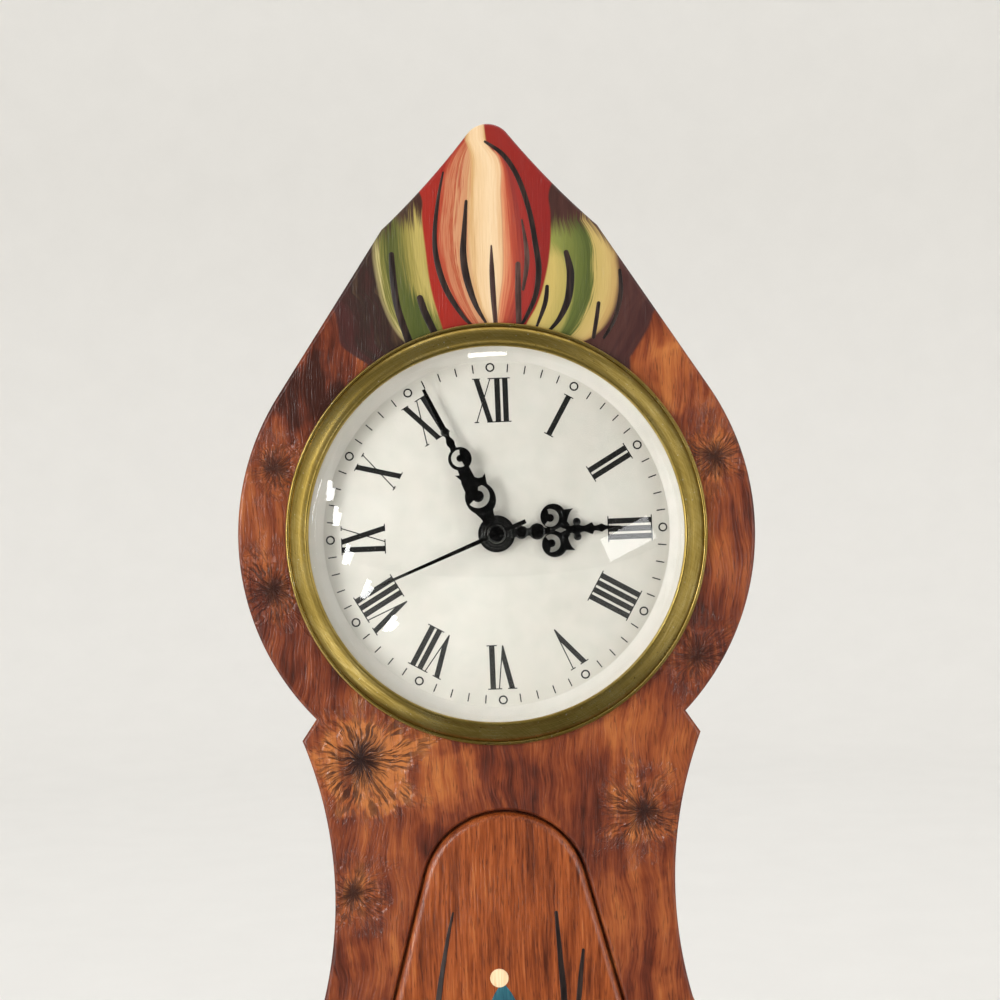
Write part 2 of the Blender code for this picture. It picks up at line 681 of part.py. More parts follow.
def stem(widths):
    """Closed outline from a list of places along the hand with half widths."""
    return [(w, s) for s, w in widths] + [(-w, s) for s, w in reversed(widths)]


def disc(along, across, radius, steps=16, stretch=1.0):
    """Closed outline of a disc, stretched along the hand."""
    ring = circle((0.0, 0.0), radius, steps)
    return [(across + x, along + z * stretch) for x, z in ring]


def c_slot(along, across, outer, inner, opening, share=0.72, steps=8):
    """Closed outline of a C-shaped slot whose gap points to the opening angle."""
    half = math.pi * share
    start = opening + math.pi - half
    end = opening + math.pi + half
    centre = (across, along)
    return arc(centre, outer, start, end, steps) + arc(centre, inner, end, start, steps)


def hand_cutters(loops, base):
    """Cutters that reach through a hand from front to back."""
    cutters = []
    for points in loops:
        loop = [(x * MM, DIAL_Z + z * MM) for x, z in points]
        cutters.append(plate([loop], front(base + HAND_THICK + 1 * MM), front(base - 1 * MM)))
    return cutters


def finish_hand(name, solids, cutters, angle, material="black_steel"):
    """Turn a finished hand about the dial axis and keep its origin there."""
    item = piece(name, material, solids, cutters, on_axis(DIAL_CENTRE))
    item.data.transform(Matrix.Rotation(angle, 4, "Y"))


def build_hour_hand():
    """Openwork hour hand with two scrolls, two leaves and a cross of beads."""
    base = HOUR_HAND_BASE
    blade = stem([
        (3.2, 1.2), (8.0, 0.9), (11.4, 1.0), (12.8, 2.2), (14.8, 2.6), (16.8, 1.5), (19.0, 1.25),
        (21.0, 0.8), (22.4, 1.4), (23.3, 0.65), (24.8, 1.0), (26.0, 0.5), (29.5, 0.24),
    ])
    solids = [hand_plate(blade, base, 0)]
    solids.append(hand_plate(disc(0.0, 0.0, 4.45, 20), base, 1))
    solids.append(hand_plate(disc(5.9, 0.0, 1.6, 12), base, 2))
    solids.append(hand_plate(disc(9.25, 0.0, 1.95, 14), base, 1))
    loops = [[(0.0, 13.3), (0.7, 14.8), (0.0, 16.3), (-0.7, 14.8)]]
    for sign in (1, -1):
        leaf = [(1.6, 15.4), (3.2, 15.2), (5.2, 14.6), (5.4, 18.2), (3.9, 17.1), (2.4, 16.6)]
        solids.append(hand_plate(disc(13.35, sign * 3.7, 2.9, 14), base, 1))
        solids.append(hand_plate([(sign * x, z) for x, z in leaf][::sign], base, 2))
        solids.append(hand_plate(disc(19.0, sign * 1.75, 0.95, 10), base, 1))
        opening = math.radians(60.0) if sign > 0 else math.radians(120.0)
        loops.append(c_slot(13.35, sign * 3.7, 1.95, 1.05, opening))
    loops.append(disc(0.0, 0.0, (HOUR_TUBE_RADIUS + FIT) / MM, 20))
    finish_hand("hour_hand", solids, hand_cutters(loops, base), HOUR_HAND_ANGLE)


def build_minute_hand():
    """Openwork minute hand with an oval, a ring, two spurs and a bead."""
    base = MINUTE_HAND_BASE
    blade = stem([
        (2.0, 1.7), (5.0, 1.7), (8.0, 2.0), (12.6, 1.9), (14.6, 1.9), (17.0, 1.3), (22.2, 0.9),
        (23.9, 1.05), (25.4, 0.55), (27.2, 1.15), (28.6, 0.6), (37.8, 0.38),
    ])
    right_spur = [(1.2, 11.6), (3.3, 11.0), (3.95, 13.9), (2.6, 13.2), (1.2, 14.6)]
    left_spur = [(-1.0, 14.0), (-2.0, 15.2), (-2.75, 16.7), (-1.6, 16.3), (-0.9, 17.0)]
    solids = [
        hand_plate(blade, base, 0),
        hand_plate(disc(0.0, 0.0, 2.95, 20), base, 1),
        hand_plate(disc(9.0, 0.0, 3.75, 18, 1.12), base, 2),
        hand_plate(disc(19.6, 0.0, 2.9, 14), base, 1),
        hand_plate(right_spur, base, 1),
        hand_plate(left_spur[::-1], base, 2),
    ]
    loops = [
        c_slot(9.0, 0.0, 2.45, 1.3, math.pi),
        c_slot(19.6, 0.0, 1.95, 1.05, 0.0),
        disc(0.0, 0.0, (MINUTE_TUBE_RADIUS + FIT) / MM, 16),
    ]
    finish_hand("minute_hand", solids, hand_cutters(loops, base), MINUTE_HAND_ANGLE)


def build_second_hand():
    """Straight second hand with a short tail and a polished cap."""
    base = SECOND_HAND_BASE
    blade = stem([(-7.5, 0.5), (0.0, 0.55), (12.0, 0.45), (30.5, 0.3)])
    top = base + HAND_THICK
    cap = [
        (0.0, top + SECOND_CAP_RISE), (SECOND_CAP_RADIUS * 0.55, top + SECOND_CAP_RISE * 0.85),
        (SECOND_CAP_RADIUS, top + SECOND_CAP_RISE * 0.3), (SECOND_CAP_RADIUS, base - 0.3 * MM),
        (0.0, base - 0.3 * MM),
    ]
    cap_solid = turned([(r, front(h)) for r, h in cap], 24, closed=False)
    socket = rod(ARBOR_RADIUS + FIT, front(top + FIT), front(base - 1 * MM), steps=12)
    finish_hand("second_hand", [hand_plate(blade, base, 0), cap_solid], [socket], SECOND_HAND_ANGLE)


# Movement
def pivot_holes():
    """Centres and hole radii of the arbors that turn in the housing floor and the train plate."""
    small = ARBOR_RADIUS + BEARING
    return (
        (THIRD_CENTRE, small),
        (INTERMEDIATE_CENTRE, small),
        (ROTOR_CENTRE, small),
        (MOTION_CENTRE, MOTION_ARBOR_RADIUS + BEARING),
    )


def shifted(loop):
    """Loop drawn around the origin, moved to the dial centre."""
    return [(x, z + DIAL_Z) for x, z in loop]


def build_housing():
    """Front tray with lugs and pivot holes, rear cover with battery slot and knob hole."""
    half = HOUSING_SIZE / 2
    inner = half - HOUSING_STEP - HOUSING_WALL
    floor_loop = lugged_floor(half)
    holes = [circle(spot, SCREW_RADIUS + BEARING, 10) for spot in lug_spots()]
    holes += [circle(centre, radius, 10) for centre, radius in pivot_holes()]
    holes.append(circle(DIAL_CENTRE, HOUR_TUBE_RADIUS + FIT, 24))
    floor_solid = plate([floor_loop] + holes, depth(0.0), depth(HOUSING_FLOOR))
    outer = half - HOUSING_STEP
    wall_loops = [
        shifted(rounded_box(-outer, outer, -outer, outer, HOUSING_CORNER)),
        shifted(rounded_box(-inner, inner, -inner, inner, HOUSING_CORNER - HOUSING_WALL)),
    ]
    walls = plate(wall_loops, depth(HOUSING_FLOOR - OVERLAP), depth(HOUSING_SPLIT))
    rib_top = -BATTERY_BELOW_DIAL + BATTERY_RADIUS + FIT + BULKHEAD
    rib_low = rib_top - BULKHEAD
    reach = inner + OVERLAP
    rib = block(
        -reach, reach, depth(HOUSING_FLOOR - OVERLAP / 2), depth(HOUSING_SPLIT - OVERLAP),
        DIAL_Z + rib_low, DIAL_Z + rib_top,
    )
    piece("movement_front", "black_plastic", [floor_solid, walls, rib], smooth=False)

    cover_start = HOUSING_DEPTH - COVER_THICK
    slot = BATTERY_LENGTH / 2 + FIT
    slot_low = -BATTERY_BELOW_DIAL - BATTERY_RADIUS - FIT
    slot_high = -BATTERY_BELOW_DIAL + BATTERY_RADIUS + FIT
    knob_hole = MOTION_ARBOR_RADIUS + FIT
    cover_loops = [
        shifted(rounded_box(-outer, outer, -outer, outer, HOUSING_CORNER)),
        shifted(box_loop(-slot, slot, slot_low, slot_high)),
        circle(MOTION_CENTRE, knob_hole, 12),
    ]
    cover = plate(cover_loops, depth(cover_start), depth(HOUSING_DEPTH))
    lip = outer - HOUSING_STEP
    rear_loops = [
        shifted(rounded_box(-lip, lip, -lip, lip, HOUSING_CORNER)),
        shifted(rounded_box(-inner, inner, -inner, inner, HOUSING_CORNER - HOUSING_WALL)),
    ]
    rear_walls = plate(rear_loops, depth(HOUSING_SPLIT + FIT), depth(cover_start + OVERLAP))
    rear_rib = block(
        -reach, reach, depth(HOUSING_SPLIT + FIT + OVERLAP), depth(cover_start + OVERLAP / 2),
        DIAL_Z + rib_low + 0.1 * MM, DIAL_Z + rib_top,
    )
    piece("movement_rear", "black_plastic", [cover, rear_walls, rear_rib], smooth=False)

    for (spot, side) in zip(lug_spots(), ("right", "left")):
        under_head = depth(HOUSING_FLOOR + FIT)
        tip = front(PAN_FLOOR) + FIT / 2
        profile = [
            (0.0, tip), (SCREW_RADIUS, tip), (SCREW_RADIUS, under_head), (SCREW_HEAD_RADIUS, under_head),
            (SCREW_HEAD_RADIUS, under_head + SCREW_HEAD_HEIGHT), (0.0, under_head + SCREW_HEAD_HEIGHT),
        ]
        piece(f"movement_screw_{side}", "steel", [turned(profile, 12, spot, closed=False)])


def lugged_floor(half):
    """Rounded square outline of the housing floor with a screw lug on each side."""
    square = rounded_box(-half, half, -half, half, HOUSING_CORNER)
    low = LUG_RISE - LUG_WIDTH / 2
    high = LUG_RISE + LUG_WIDTH / 2
    reach = half + LUG_REACH
    quarter = len(square) // 4
    right_lug = [(half, low), (reach, low), (reach, high), (half, high)]
    left_lug = [(-half, high), (-reach, high), (-reach, low), (-half, low)]
    loop = right_lug + square[:2 * quarter] + left_lug + square[2 * quarter:]
    return shifted(loop)


def build_battery():
    """Round cell with its nub, and a formed contact at each end."""
    y = depth(BATTERY_DEPTH)
    z = DIAL_Z - BATTERY_BELOW_DIAL
    half = BATTERY_LENGTH / 2
    shoulder = half - BATTERY_NUB
    profile = [
        (0.0, -half), (BATTERY_RADIUS - 0.6 * MM, -half), (BATTERY_RADIUS, -half + 0.6 * MM),
        (BATTERY_RADIUS, shoulder - 0.8 * MM), (BATTERY_RADIUS - 0.8 * MM, shoulder),
        (BATTERY_NUB_RADIUS, shoulder), (BATTERY_NUB_RADIUS, half), (0.0, half),
    ]
    piece("battery", "battery_wrap", [lying(turned(profile, 24, (0.0, 0.0), closed=False), y, z)],
          origin=(0.0, y, z))
    inner = HOUSING_SIZE / 2 - HOUSING_STEP - HOUSING_WALL
    sheet_end = inner - FIT
    sheet_start = sheet_end - CONTACT_THICK
    for name, sign in (("contact_plus", 1), ("contact_minus", -1)):
        edges = sorted((sign * sheet_start, sign * sheet_end))
        sheet = block(
            edges[0], edges[1], y - CONTACT_HEIGHT / 2, y + CONTACT_HEIGHT / 2,
            z - CONTACT_HEIGHT / 2, z + CONTACT_HEIGHT / 2,
        )
        bump = [
            (0.0, half + FIT), (1.6 * MM, half + FIT), (2.6 * MM, sheet_start + CONTACT_THICK / 2),
            (0.0, sheet_start + CONTACT_THICK / 2),
        ]
        bump_solid = turned([(r, sign * d) for r, d in bump], 12, (0.0, 0.0), closed=False)
        piece(name, "spring_steel", [sheet, lying(bump_solid, y, z)])


def lying(bm, y, z):
    """Turn a solid whose axis is Y so that it lies along X at a place."""
    bmesh.ops.transform(
        bm, verts=bm.verts[:],
        matrix=Matrix.Translation((0.0, y, z)) @ Matrix.Rotation(-math.pi / 2, 4, "Z"),
    )
    return bm


def build_setting_train():
    """Hour wheel, cannon pinion, motion wheel and the setting knob."""
    cannon_phase = 0.0
    motion_phase = mesh_phase(MOTION_TEETH, MOTION_ANGLE, CANNON_TEETH, cannon_phase)
    hour_phase = mesh_phase(HOUR_TEETH, MOTION_ANGLE + math.pi, MOTION_PINION_TEETH, 0.0)

    hour_span = layer(0)
    hour_gear = gear(HOUR_TEETH, HOUR_MODULE, DIAL_CENTRE, hour_phase, hour_span)
    hour_tube = rod(HOUR_TUBE_RADIUS, front(HOUR_HAND_BASE + HAND_THICK), hour_span[1] - WHEEL_THICK / 2, steps=24)
    hour_bore = rod(
        MINUTE_TUBE_RADIUS + FIT, front(HOUR_HAND_BASE + 2 * MM), hour_span[1] + OVERLAP, steps=20,
    )
    piece("hour_wheel", "wheel_plastic", [hour_gear, hour_tube], [hour_bore], on_axis(DIAL_CENTRE))

    cannon_span = layer(1)
    cannon_gear = gear(CANNON_TEETH, MOTION_MODULE, DIAL_CENTRE, cannon_phase, cannon_span, True)
    centre_span = layer(2)
    tube = rod(MINUTE_TUBE_RADIUS, front(MINUTE_HAND_BASE + HAND_THICK), centre_span[1], steps=20)
    bore = rod(ARBOR_RADIUS + FIT, front(MINUTE_HAND_BASE + 2 * MM), centre_span[1] + OVERLAP, steps=14)
    piece("cannon_pinion", "wheel_brass", [tube, cannon_gear], [bore], on_axis(DIAL_CENTRE))

    motion_gear = gear(MOTION_TEETH, MOTION_MODULE, MOTION_CENTRE, motion_phase, cannon_span)
    motion_pinion = gear(MOTION_PINION_TEETH, HOUR_MODULE, MOTION_CENTRE, 0.0, hour_span, True)
    arbor_end = depth(HOUSING_DEPTH + FIT + KNOB_HEIGHT * 0.6)
    arbor = rod(MOTION_ARBOR_RADIUS, depth(0.4 * MM), arbor_end, MOTION_CENTRE, 12)
    piece("motion_wheel", "wheel_plastic", [arbor, motion_gear, motion_pinion], (), on_axis(MOTION_CENTRE))

    knob_front = depth(HOUSING_DEPTH + FIT)
    knob_loop = []
    for flute in range(KNOB_FLUTES * 2):
        radius = KNOB_RADIUS if flute % 2 else KNOB_RADIUS - 0.5 * MM
        knob_loop.append(polar(radius, math.pi * flute / KNOB_FLUTES, MOTION_CENTRE))
    knob = plate([knob_loop], knob_front, knob_front + KNOB_HEIGHT)
    socket = rod(MOTION_ARBOR_RADIUS + FIT, knob_front - OVERLAP, arbor_end + FIT, MOTION_CENTRE, 12)
    piece("set_knob", "black_plastic", [knob], [socket], on_axis(MOTION_CENTRE), smooth=False)


def build_running_train():
    """Rotor, intermediate, second, third and centre wheels between floor and train plate."""
    start = depth(0.4 * MM)
    end = depth(TRAIN_PLATE_FRONT + TRAIN_PLATE_THICK - 0.1 * MM)
    centre_span, third_span = layer(2), layer(3)
    second_span, intermediate_span = layer(4), layer(5)

    intermediate_phase = mesh_phase(INTERMEDIATE_TEETH, ROTOR_ANGLE + math.pi, ROTOR_TEETH, 0.0)
    second_phase = mesh_phase(SECOND_TEETH, INTERMEDIATE_ANGLE + math.pi, INTERMEDIATE_PINION_TEETH, 0.0)
    third_phase = mesh_phase(THIRD_TEETH, THIRD_ANGLE, SECOND_PINION_TEETH, 0.0)
    centre_phase = mesh_phase(CENTRE_TEETH, THIRD_ANGLE + math.pi, THIRD_PINION_TEETH, 0.0)

    magnet_front = intermediate_span[1] + 0.6 * MM
    rotor_parts = [
        rod(ARBOR_RADIUS, start, end, ROTOR_CENTRE, 12),
        gear(ROTOR_TEETH, ROTOR_MODULE, ROTOR_CENTRE, 0.0, intermediate_span, True),
        rod(MAGNET_RADIUS, magnet_front, magnet_front + MAGNET_THICK, ROTOR_CENTRE, 20),
    ]
    piece("rotor", "magnet", rotor_parts, (), on_axis(ROTOR_CENTRE))

    intermediate_parts = [
        rod(ARBOR_RADIUS, start, end, INTERMEDIATE_CENTRE, 12),
        gear(INTERMEDIATE_TEETH, ROTOR_MODULE, INTERMEDIATE_CENTRE, intermediate_phase, intermediate_span),
        gear(INTERMEDIATE_PINION_TEETH, ROTOR_MODULE, INTERMEDIATE_CENTRE, 0.0, second_span, True),
    ]
    piece("intermediate_wheel", "wheel_plastic", intermediate_parts, (), on_axis(INTERMEDIATE_CENTRE))

    second_parts = [
        rod(ARBOR_RADIUS, front(SECOND_HAND_BASE + HAND_THICK), end, DIAL_CENTRE, 12),
        gear(SECOND_TEETH, ROTOR_MODULE, DIAL_CENTRE, second_phase, second_span),
        gear(SECOND_PINION_TEETH, SECOND_MODULE, DIAL_CENTRE, 0.0, third_span, True),
    ]
    piece("second_wheel", "wheel_brass", second_parts, (), on_axis(DIAL_CENTRE))

    third_parts = [
        rod(ARBOR_RADIUS, start, end, THIRD_CENTRE, 12),
        gear(THIRD_TEETH, SECOND_MODULE, THIRD_CENTRE, third_phase, third_span),
        gear(THIRD_PINION_TEETH, CENTRE_MODULE, THIRD_CENTRE, 0.0, centre_span, True),
    ]
    piece("third_wheel", "wheel_plastic", third_parts, (), on_axis(THIRD_CENTRE))

    centre_gear = gear(CENTRE_TEETH, CENTRE_MODULE, DIAL_CENTRE, centre_phase, centre_span)
    centre_bore = rod(
        MINUTE_TUBE_RADIUS + BEARING, centre_span[0] - OVERLAP, centre_span[1] + OVERLAP, steps=20,
    )
    piece("centre_wheel", "wheel_plastic", [centre_gear], [centre_bore], on_axis(DIAL_CENTRE))
    build_motor(magnet_front)


def build_motor(magnet_front):
    """Train plate, stator, coil and the circuit board with its crystal."""
    plate_front = depth(TRAIN_PLATE_FRONT)
    plate_back = depth(TRAIN_PLATE_FRONT + TRAIN_PLATE_THICK)
    plate_loop = shifted(box_loop(-14 * MM, 14.5 * MM, -8 * MM, 21.5 * MM))
    holes = [circle(centre, radius, 10) for centre, radius in pivot_holes()]
    holes.append(circle(DIAL_CENTRE, ARBOR_RADIUS + BEARING, 10))
    bridge = plate([plate_loop] + holes, plate_front, plate_back)
    solids = [bridge]
    for x, z in ((-12.0, -5.8), (12.8, -5.8), (-11.8, 19.2)):
        spot = (x * MM, DIAL_Z + z * MM)
        solids.append(rod(PILLAR_RADIUS, depth(HOUSING_FLOOR + FIT), plate_front + OVERLAP, spot, 10))
    piece("train_plate", "steel", solids, smooth=False)

    stator_front = magnet_front + (MAGNET_THICK - STATOR_THICK) / 2
    left = ROTOR_CENTRE[0] - MAGNET_RADIUS - 2.2 * MM
    low = ROTOR_CENTRE[1] - MAGNET_RADIUS - 1.7 * MM
    high = ROTOR_CENTRE[1] + MAGNET_RADIUS + 5.6 * MM
    right = COIL_OFFSET + STATOR_BAR / 2
    window = box_loop(
        ROTOR_CENTRE[0] + MAGNET_RADIUS + 2.2 * MM, right - STATOR_BAR, low + STATOR_BAR, high - STATOR_BAR,
    )
    rotor_hole = circle(ROTOR_CENTRE, MAGNET_RADIUS + FIT, 24)
    stator_loops = [box_loop(left, right, low, high), window, rotor_hole]
    piece("stator", "steel", [plate(stator_loops, stator_front, stator_front + STATOR_THICK)], smooth=False)

    middle_y = stator_front + STATOR_THICK / 2
    coil_low = low + STATOR_BAR + FIT
    coil_high = high - STATOR_BAR - FIT
    coil_solid = upright_rod(COIL_RADIUS, coil_low, coil_high, COIL_OFFSET, middle_y, 20)
    bar_width = STATOR_BAR / 2 + FIT
    bar_depth = STATOR_THICK / 2 + FIT
    core = block(
        COIL_OFFSET - bar_width, COIL_OFFSET + bar_width, middle_y - bar_depth, middle_y + bar_depth,
        coil_low - OVERLAP, coil_high + OVERLAP,
    )
    piece("coil", "copper", [coil_solid], [core])

    board_front = depth(HOUSING_FLOOR + FIT)
    board_back = board_front + 1.0 * MM
    inner = HOUSING_SIZE / 2 - HOUSING_STEP - HOUSING_WALL
    board_left = -inner + FIT
    board = block(board_left, board_left + 8.4 * MM, board_front, board_back, DIAL_Z - 9 * MM, DIAL_Z + 24 * MM)
    piece("circuit_board", "circuit_green", [board], smooth=False)
    can = upright_rod(1.1 * MM, DIAL_Z + 14 * MM, DIAL_Z + 20.5 * MM, board_left + 4.2 * MM,
                      board_back + FIT + 1.1 * MM)
    piece("crystal", "steel", [can])


def main():
    """Build every piece."""
    clear_scene()
    add_material("painted_wood", (0.25, 0.06, 0.02), 0.35)
    add_material("panel_wood", (0.30, 0.08, 0.03), 0.35)
    add_material("plinth_wood", (0.20, 0.05, 0.02), 0.35)
    add_material("back_wood", (0.45, 0.30, 0.16), 0.7)
    add_material("brass", (0.55, 0.45, 0.16), 0.28, 1.0)
    add_material("clear_glass", (0.9, 0.95, 0.95), 0.02)
    add_material("pan_enamel", (0.78, 0.75, 0.68), 0.4)
    add_material("dial_enamel", (0.78, 0.76, 0.70), 0.45)
    add_material("rubber", (0.02, 0.02, 0.02), 0.8)
    add_material("black_steel", (0.01, 0.01, 0.01), 0.3, 0.4)
    add_material("black_plastic", (0.02, 0.02, 0.02), 0.5)
    add_material("steel", (0.55, 0.55, 0.56), 0.35, 1.0)
    add_material("spring_steel", (0.6, 0.6, 0.6), 0.3, 1.0)
    add_material("wheel_plastic", (0.75, 0.75, 0.72), 0.45)
    add_material("wheel_brass", (0.6, 0.45, 0.18), 0.35, 1.0)
    add_material("magnet", (0.12, 0.12, 0.13), 0.4, 0.6)
    add_material("copper", (0.5, 0.16, 0.06), 0.4, 1.0)
    add_material("circuit_green", (0.02, 0.16, 0.07), 0.5)
    add_material("battery_wrap", (0.05, 0.05, 0.06), 0.35, 0.3)
    build_case()
    build_insert()
    build_housing()
    build_battery()
    build_setting_train()
    build_running_train()
    build_hour_hand()
    build_minute_hand()
    build_second_hand()


main()
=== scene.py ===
# %% [markdown]
# This lesson dresses a small painted table clock. The imported model gives the solid pieces and their places,
# and nothing here moves them. New pieces are drawn around that frame, and each hangs from an empty named
# after the body it belongs to, such as the case or the hour hand.

# %% Load the frame
import json
import math

import bmesh
import bpy
from mathutils import Matrix, Vector


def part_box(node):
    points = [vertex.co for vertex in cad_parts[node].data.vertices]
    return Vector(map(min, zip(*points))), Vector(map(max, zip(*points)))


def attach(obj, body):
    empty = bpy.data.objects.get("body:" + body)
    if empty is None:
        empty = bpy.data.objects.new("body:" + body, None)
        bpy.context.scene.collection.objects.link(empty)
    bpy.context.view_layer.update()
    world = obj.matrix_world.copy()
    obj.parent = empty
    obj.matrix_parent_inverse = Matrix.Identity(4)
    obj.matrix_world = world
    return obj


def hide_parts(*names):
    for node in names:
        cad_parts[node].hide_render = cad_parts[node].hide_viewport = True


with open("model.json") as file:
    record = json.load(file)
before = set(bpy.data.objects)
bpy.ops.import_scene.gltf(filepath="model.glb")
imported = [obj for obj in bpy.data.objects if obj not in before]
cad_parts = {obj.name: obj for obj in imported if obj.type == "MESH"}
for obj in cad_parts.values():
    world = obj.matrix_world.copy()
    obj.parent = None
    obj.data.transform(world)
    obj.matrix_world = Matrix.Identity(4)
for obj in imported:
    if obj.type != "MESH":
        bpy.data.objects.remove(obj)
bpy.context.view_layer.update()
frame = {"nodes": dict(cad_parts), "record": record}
nodes = frame["nodes"]
scene = bpy.context.scene
MM = 0.001

# %% [markdown]
# Everything on the clock's face is measured from the middle of the dial, so the lesson draws in millimetres
# from there: x to the right, h upward, and a rise that counts forward from the painted board. One matrix
# takes such a drawing to its place in the frame, in metres.

# %% Drawing frame
dial_low, dial_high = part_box("dial")
board_low, board_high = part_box("front_board")
back_low, back_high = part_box("back_board")
plinth_low, plinth_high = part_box("plinth")
FRONT = board_low.y
DIAL_Z = (dial_low.z + dial_high.z) / 2
DRAWING = Matrix.Translation((0.0, FRONT, DIAL_Z)) @ Matrix.Scale(MM, 4)
BOARD_BACK = (FRONT - board_high.y) / MM
BACK_FRONT = (FRONT - back_low.y) / MM
BACK_FACE = (FRONT - back_high.y) / MM
FOOT = (plinth_high.z - DIAL_Z) / MM
DIAL_RISE = (FRONT - dial_low.y) / MM
print(f"board front at {FRONT:.4f} m, dial at {DIAL_Z:.4f} m, dial face {DIAL_RISE:.2f} mm from the board")

# %% [markdown]
# The photograph looks straight at the dial from an arm's length, cuts the clock off at its waist and leans a
# little, because the phone was tilted. A camera repeats this best from real sizes: how far it stands, and how
# many millimetres of the painted board fill the picture. The lens follows from those two.

# %% Camera
VIEW_HEIGHT = 237.0 * MM
VIEW_DISTANCE = 430.0 * MM
VIEW_CENTRE = (1.0 * MM, 8.0 * MM)
LEAN = math.radians(1.4)

camera_data = bpy.data.cameras.new("camera")
camera_data.sensor_width = 36.0
camera_data.lens = camera_data.sensor_width * VIEW_DISTANCE / VIEW_HEIGHT
camera = bpy.data.objects.new("camera", camera_data)
camera.matrix_world = (
    Matrix.Translation((VIEW_CENTRE[0], FRONT - VIEW_DISTANCE, DIAL_Z + VIEW_CENTRE[1]))
    @ Matrix.Rotation(LEAN, 4, "Y") @ Matrix.Rotation(math.pi / 2, 4, "X")
)
scene.collection.objects.link(camera)
scene.camera = camera
print(f"lens of {camera_data.lens:.1f} mm at {VIEW_DISTANCE / MM:.0f} mm")

# %% [markdown]
# Every finish below is a node tree. Colours are noted as hex values, as a paint chart or a picture program
# gives them, and one function turns them to the linear values that a shader expects. A second function adds
# one node, sets it and links it, which keeps a long tree readable, and a third links the end of a tree to the
# shader.

# %% Colour and node helpers
def colour(hex_value):
    """Linear RGBA of an sRGB hex colour."""
    channels = [int(hex_value[i:i + 2], 16) / 255 for i in (1, 3, 5)]
    linear = [c / 12.92 if c <= 0.04045 else ((c + 0.055) / 1.055) ** 2.4 for c in channels]
    return (*linear, 1.0)


def add(tree, kind, *values, out=0, sockets=None, stops=(), **settings):
    """Add a shader node, set it, feed its inputs with values or outputs, and return one output."""
    made = tree.nodes.new("ShaderNode" + kind)
    for name, value in settings.items():
        setattr(made, name, value)
    for key, value in [*enumerate(values), *(sockets or {}).items()]:
        if isinstance(value, bpy.types.NodeSocket):
            tree.links.new(value, made.inputs[key])
        else:
            made.inputs[key].default_value = value
    for index, (place, hex_value) in enumerate(stops):
        marks = made.color_ramp.elements
        mark = marks[index] if index < 2 else marks.new(place)
        mark.position = place
        mark.color = colour(hex_value)
    return made.outputs[out]


def new_material(name, **constants):
    """Material with one Principled shader whose plain values are set on its own sockets."""
    material = bpy.data.materials.new(name)
    material.use_nodes = True
    shader = material.node_tree.nodes["Principled BSDF"]
    for key, value in constants.items():
        shader.inputs[key.replace("_", " ")].default_value = value
    return material, material.node_tree, shader


def feed(tree, shader, **outputs):
    """Link outputs to the shader's own sockets, named with an underscore for each space."""
    for key, output in outputs.items():
        tree.links.new(output, shader.inputs[key.replace("_", " ")])


def drawing_place(tree):
    """Object coordinates turned to millimetres from the dial centre, the same frame as the drawings."""
    point = add(tree, "TexCoord", out="Object")
    shift = (0.0, -FRONT / MM, -DIAL_Z / MM)
    return add(tree, "Mapping", point, shift, (0.0, 0.0, 0.0), (1 / MM, 1 / MM, 1 / MM))


def streaks(tree, place, across, along, seed, detail=3.0):
    """Noise drawn out along the grain, whose marks are about across wide and along high, in millimetres."""
    size = (1 / across, 1 / across, 1 / along)
    drawn = add(tree, "Mapping", place, (seed * 7.3, seed * 3.1, seed * 5.7), (0.0, 0.0, 0.0), size)
    return add(tree, "TexNoise", drawn, sockets={"Scale": 1.0, "Detail": detail, "Roughness": 0.55})


def weighed_sum(tree, *parts):
    """Sum of (output, weight) parts."""
    total = 0.0
    for output, weight in parts:
        total = add(tree, "Math", output, weight, total, operation="MULTIPLY_ADD")
    return total


def wander(tree, place, scale, amount):
    """Places that drift with a slow noise, by up to half the amount along each axis."""
    drift = add(tree, "TexNoise", place, sockets={"Scale": scale, "Detail": 2.0}, out="Color")
    drift = add(tree, "VectorMath", drift, (0.5, 0.5, 0.5), operation="SUBTRACT")
    return add(tree, "VectorMath", drift, amount, place, operation="MULTIPLY_ADD")


def relief(tree, shader, height, depth, strength):
    """Bump of a real depth in millimetres on the shader, and on its clear coat."""
    bump = add(tree, "Bump", sockets={"Strength": strength, "Distance": depth * MM, "Height": height})
    feed(tree, shader, Normal=bump)
    if shader.inputs["Coat Weight"].default_value > 0:
        feed(tree, shader, Coat_Normal=bump)


# %% [markdown]
# The stage is a pale paper cove: a round floor that turns up into a wall, so every view has the same quiet
# background. A profile of a few points, spun about the vertical axis, makes it in one stroke. Shiny surfaces
# don't see it, as if black flags stood around the clock, so varnish and glass keep their depth.

# %% Stage
COVE_RADIUS = 1.7
COVE_BEND = 0.6
COVE_HEIGHT = 1.8
COVE_STEPS = 72
COVE_WELD = 1e-6
BEND_STEPS = 10


def spun(places, axis, steps, weld, closed=False):
    """Mesh of a line of places, spun a full turn about an axis through the origin."""
    bm = bmesh.new()
    verts = [bm.verts.new(place) for place in places]
    pairs = list(zip(verts, verts[1:] + verts[:1] if closed else verts[1:]))
    edges = [bm.edges.new(pair) for pair in pairs]
    bmesh.ops.spin(
        bm, geom=verts + edges, cent=(0.0, 0.0, 0.0), axis=axis, angle=2 * math.pi, steps=steps,
        use_merge=True,
    )
    bmesh.ops.remove_doubles(bm, verts=bm.verts[:], dist=weld)
    bmesh.ops.recalc_face_normals(bm, faces=bm.faces[:])
    return bm


def new_object(name, bm, material):
    """Object of a finished mesh in one material, linked to the scene."""
    mesh = bpy.data.meshes.new(name)
    bm.to_mesh(mesh)
    bm.free()
    mesh.materials.append(material)
    item = bpy.data.objects.new(name, mesh)
    scene.collection.objects.link(item)
    return item


